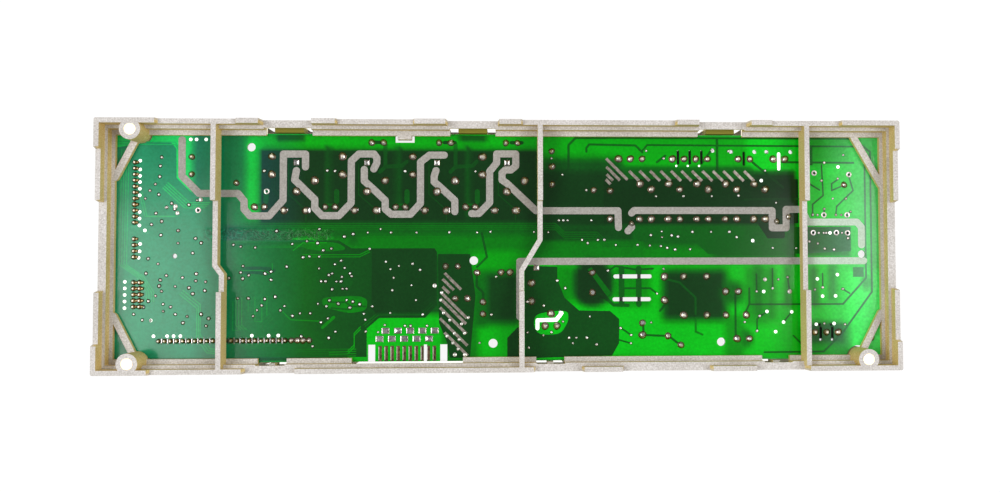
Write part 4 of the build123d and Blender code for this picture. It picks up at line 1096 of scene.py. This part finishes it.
def islands(name):
    """Lowest and highest corner, in mm, of each separate solid of a CAD node."""
    source = welded(name)
    boxes, seen = [], set()
    for start in source.verts:
        if start in seen:
            continue
        group, open_list = [], [start]
        seen.add(start)
        while open_list:
            at = open_list.pop()
            group.append(at.co / MM)
            for edge in at.link_edges:
                other = edge.other_vert(at)
                if other not in seen:
                    seen.add(other)
                    open_list.append(other)
        boxes.append((Vector([min(p[i] for p in group) for i in range(3)]),
            Vector([max(p[i] for p in group) for i in range(3)])))
    source.free()
    return sorted(boxes, key=lambda box: (round(box[0].y, 1), box[0].x))


# Square pads with a bead of solder, and the short dashes between the keypad header's pins.
square_pads = ([(-87.9, 35.7), (-58.2, 35.7), (-28.5, 35.7), (1.4, 35.7), (13.9, -9.2)]
    + [(x, 15.4) for x in (-83, -53.6, -24, 5.5)])
verts, faces = [], []


def pad_block(x, y, wide, deep, high, bead):
    """A tinned pad whose solder crowns towards its middle."""
    first = len(verts)
    for scale, level in ((1.0, 0.0), (1.0, 0.08), (0.8, 0.08 + high * 0.5), (bead, 0.08 + high)):
        for sx, sy in ((-1, -1), (1, -1), (1, 1), (-1, 1)):
            verts.append(((x + sx * wide / 2 * scale) * MM, (y + sy * deep / 2 * scale) * MM,
                (board_top + level) * MM))
    for ring in range(3):
        for i in range(4):
            j = (i + 1) % 4
            low, high_ring = first + ring * 4, first + ring * 4 + 4
            faces.append((low + i, low + j, high_ring + j, high_ring + i))
    faces.append(tuple(first + 12 + i for i in range(4)))
    faces.append(tuple(first + i for i in (3, 2, 1, 0)))


for x, y in square_pads:
    pad_block(x, y, 2.5, 2.5, 0.5, 0.3)
for x in (-93.0, -63.4, -33.8, -3.9):
    for side in (-1.2, 1.2):
        pad_block(x + side, 15.6, 1.0, 0.9, 0.2, 0.4)
keypad_row = sorted((x, y) for x, y in strip_pins if y < -36)
for (left, y), (right, _) in zip(keypad_row, keypad_row[1:]):
    if right - left < 4:
        pad_block((left + right) / 2, y, 0.5, 2.8, 0.1, 0.6)
for index, (low, high) in enumerate(islands("test_pads")):
    middle = (low + high) / 2
    crown, bead = (0.34, 0.16) if index in (4, 6) else (0.16, 0.74)
    pad_block(middle.x, middle.y, high.x - low.x, high.y - low.y, crown, bead)
mesh_piece("square_pads", verts, faces, tin("pad_crown", tone(128, 122, 122), tone(196, 192, 190),
    0.22), smooth=False)

# A painted highlight: a bright strip along the left edge of each finger of the card edge.
verts, faces = [], []
for low, high in islands("edge_fingers"):
    pad_block(low.x + 0.16, (low.y + high.y) / 2, 0.3, high.y - low.y, 0.06, 0.6)
mesh_piece("finger_edge_highlights", verts, faces, finger_highlight_tin(), smooth=False)


# ---------------------------------------------------------------- printed line, rounded

line_paths = [
    [(-135.8, 45.3), (-135.7, 29.9), (-128.5, 22.5), (-112.3, 22.5), (-109.7, 19.3), (-109.7, 15.9),
        (-107.2, 13), (-99.2, 13), (-93.4, 19.7), (-93.4, 39.3), (-84.1, 39.3), (-84.1, 33.8)],
    [(-87.9, 32.3), (-88.6, 28.3), (-85.5, 25.3), (-80.1, 20), (-80.1, 16.3), (-77, 13.1),
        (-69.9, 13.1), (-64.8, 18.5), (-64.8, 36.4), (-61.6, 39.4), (-55.2, 39.4), (-54, 37.7),
        (-54, 35.6), (-55.3, 33)],
    [(-59.3, 32.8), (-59.3, 27.9), (-56.4, 25.3), (-50.4, 19.6), (-50.4, 15.9), (-47.9, 13.7),
        (-39.7, 13.7), (-35.5, 18.3), (-35.5, 36), (-31.7, 39), (-25.4, 39)],
    [(-28.9, 32.4), (-29.7, 30), (-29.7, 27.5), (-27.6, 25.8), (-20.9, 19.6), (-20.9, 14.8)],
    [(-13.7, 14), (-10.6, 14), (-6.05, 18.7), (-6.05, 32), (-3.05, 35.7), (-3.05, 39.6), (5.1, 39.6),
        (5.1, 34.4), (3.1, 32.7), (0.6, 32.7), (-0.75, 31.4), (-0.75, 28.4), (1.4, 26.9), (13.8, 15.2),
        (49, 15.2), (49.2, 8)],
    [(53.3, 6.5), (54.9, 8.2)],
    [(54.9, 14.2), (56, 15.3), (116, 15.3), (116, 7.8), (122.1, 7.8), (122.1, 15.8), (129, 15.8),
        (131.7, 10.3), (153.2, 10.3), (155.1, 8.1), (155.1, 0.4)],
    [(156, -6.5), (6.8, -6.5), (6.8, -30)],
]
line_loops = [loop for path in line_paths for loop in strip(path, 3.0)]
pad_loops = [ring_points(x, y, hole * 0.62 + 1.0, 16) for x, y, hole in lead_spots]
printed = flat_piece("printed_line", line_loops, pad_loops + hole_loops, board_top, board_top
    + INK_HEIGHT, printed_ink())
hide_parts("isolation_line")


# ---------------------------------------------------------------- materials of the CAD nodes

def dress(mat, *names):
    for name in names:
        data = nodes[name].data
        data.materials.clear()
        data.materials.append(mat)


def named(prefix):
    return [name for name in nodes if name.startswith(prefix)]


dress(frame_plastic(), "housing_frame")
dress(relay_case("relay_black", tone(14, 14, 15), tone(30, 30, 32)), *named("power_relay"))
dress(relay_case("relay_grey", tone(32, 35, 42), tone(52, 56, 64)), *named("slim_relay"))
dress(header_nylon(), *named("load_header"), "supply_header")
dress(moulded("strip_black", tone(16, 16, 17), tone(34, 34, 36)), "display_header", "key_header",
    "program_header", "keypad_header", "buzzer", "switching_transistor", "rectifier_diode",
    "flyback_diodes")
dress(moulded("former", tone(18, 17, 16), tone(40, 38, 36), 0.5, 900.0), "transformer_former")
dress(moulded("fuse_cap", tone(96, 30, 22), tone(132, 48, 34), 0.3), "fuse")
dress(chip("microcontroller", "x", 1.6), "microcontroller")
for name in named("relay_driver") + named("optocoupler"):
    dress(chip(name, "y", 1.5), name)
for name in ["bulk_capacitor"] + named("output_capacitor"):
    dress(sleeved_can(name), name)
dress(moulded("film_box", tone(150, 96, 18), tone(186, 126, 34)), "film_capacitor",
    *named("snubber_capacitor"))
dress(moulded("dipped", tone(22, 44, 118), tone(38, 66, 150), 0.25), "varistor", "safety_capacitor")
dress(moulded("ferrite", tone(38, 37, 36), tone(62, 60, 58), 0.7, pins=False), "transformer_core")
dress(tape(), "transformer_winding")
dress(moulded("link_sleeve", tone(16, 16, 17), tone(34, 34, 36), 0.5, pins=False), "jumper_links")
dress(tin("can_metal", tone(150, 148, 144), tone(208, 206, 202), 0.3), "crystal")
dress(tin("finger_tin", tone(66, 46, 44), tone(120, 100, 78), 0.34), "edge_fingers")
dress(tin("pad_tin", tone(104, 102, 98), tone(150, 148, 142), 0.4), "test_pads")
dress(tin("bar_tin", tone(118, 108, 98), tone(172, 164, 154), 0.36), "solder_bars")


# ---------------------------------------------------------------- floor, light and camera

def make_floor():
    """White to the camera and in reflections; to all other light a plain pale surface."""
    size = 6.0
    floor = bpy.data.objects.new("floor", bpy.data.meshes.new("floor"))
    corners = [(-size, -size, 0), (size, -size, 0), (size, size, 0), (-size, size, 0)]
    floor.data.from_pydata(corners, [], [(0, 1, 2, 3)])
    bpy.context.scene.collection.objects.link(floor)
    mat = bpy.data.materials.new("floor_white")
    mat.use_nodes = True
    tree = mat.node_tree
    tree.nodes.clear()
    out = add(tree, "OutputMaterial")
    path = add(tree, "LightPath")
    seen = larger(path.outputs["Is Camera Ray"], larger(path.outputs["Is Glossy Ray"],
        path.outputs["Is Transmission Ray"]))
    plain = add(tree, "BsdfDiffuse", None, Color=(0.82, 0.82, 0.82, 1))
    dim = add(tree, "BsdfDiffuse", None, Color=(0.14, 0.14, 0.14, 1))
    glow = add(tree, "Emission", None, Color=(1, 1, 1, 1), Strength=0.89)
    both = add(tree, "AddShader")
    link(dim.outputs[0], both.inputs[0])
    link(glow.outputs[0], both.inputs[1])
    mix = add(tree, "MixShader")
    link(seen, mix.inputs[0])
    link(plain.outputs[0], mix.inputs[1])
    link(both.outputs[0], mix.inputs[2])
    link(mix.outputs[0], out.inputs["Surface"])
    floor.data.materials.append(mat)
    floor.location.z = -0.0002      # just clear of the part


def softbox(name, location, size, power):
    """A flat lamp aimed at the part's origin that the camera doesn't see."""
    lamp = bpy.data.lights.new(name, "AREA")
    lamp.shape = "RECTANGLE"
    lamp.size, lamp.size_y = size
    lamp.energy = power
    rig = bpy.data.objects.new(name, lamp)
    rig.location = location
    rig.rotation_euler = (Vector((0, 0, 0)) - Vector(location)).to_track_quat("-Z", "Y").to_euler()
    rig.visible_camera = False
    bpy.context.scene.collection.objects.link(rig)


def make_world(room):
    """A plain pale room."""
    world = bpy.data.worlds.new("studio")
    bpy.context.scene.world = world
    world.use_nodes = True
    back = world.node_tree.nodes["Background"]
    back.inputs["Color"].default_value = (1, 1, 1, 1)
    back.inputs["Strength"].default_value = room


def make_camera():
    """Almost straight down on the solder side, half a metre away; angles in radians."""
    data = bpy.data.cameras.new("camera")
    data.lens = 39.6
    data.sensor_width = 36.0
    data.shift_x = -0.058
    data.shift_y = -0.0185
    data.clip_start = 0.01
    camera = bpy.data.objects.new("camera", data)
    turn = Matrix.Rotation(-0.0027, 3, "Z") @ Matrix.Rotation(-0.0495, 3, "Y")
    turn = turn @ Matrix.Rotation(0.0418, 3, "X")
    camera.matrix_world = Matrix.Translation(Vector((-0.17, -11.63, 496.23)) * MM) @ turn.to_4x4()
    bpy.context.scene.collection.objects.link(camera)
    bpy.context.scene.camera = camera


make_floor()
make_world(0.36)
softbox("softbox_left", (-1.15, 0.0, 1.5), (2.0, 0.6), 20.0)
softbox("softbox_right", (1.15, 0.0, 1.5), (2.0, 0.6), 19.0)
softbox("window_left", (-0.66, -0.06, 1.5), (0.34, 0.34), 2.8)
softbox("window_middle", (0.53, 0.0, 1.5), (0.2, 0.09), 0.3)
softbox("window_right", (0.69, 0.06, 1.5), (0.26, 0.1), 1.05)
make_camera()
bpy.context.scene.view_settings.view_transform = "Standard"
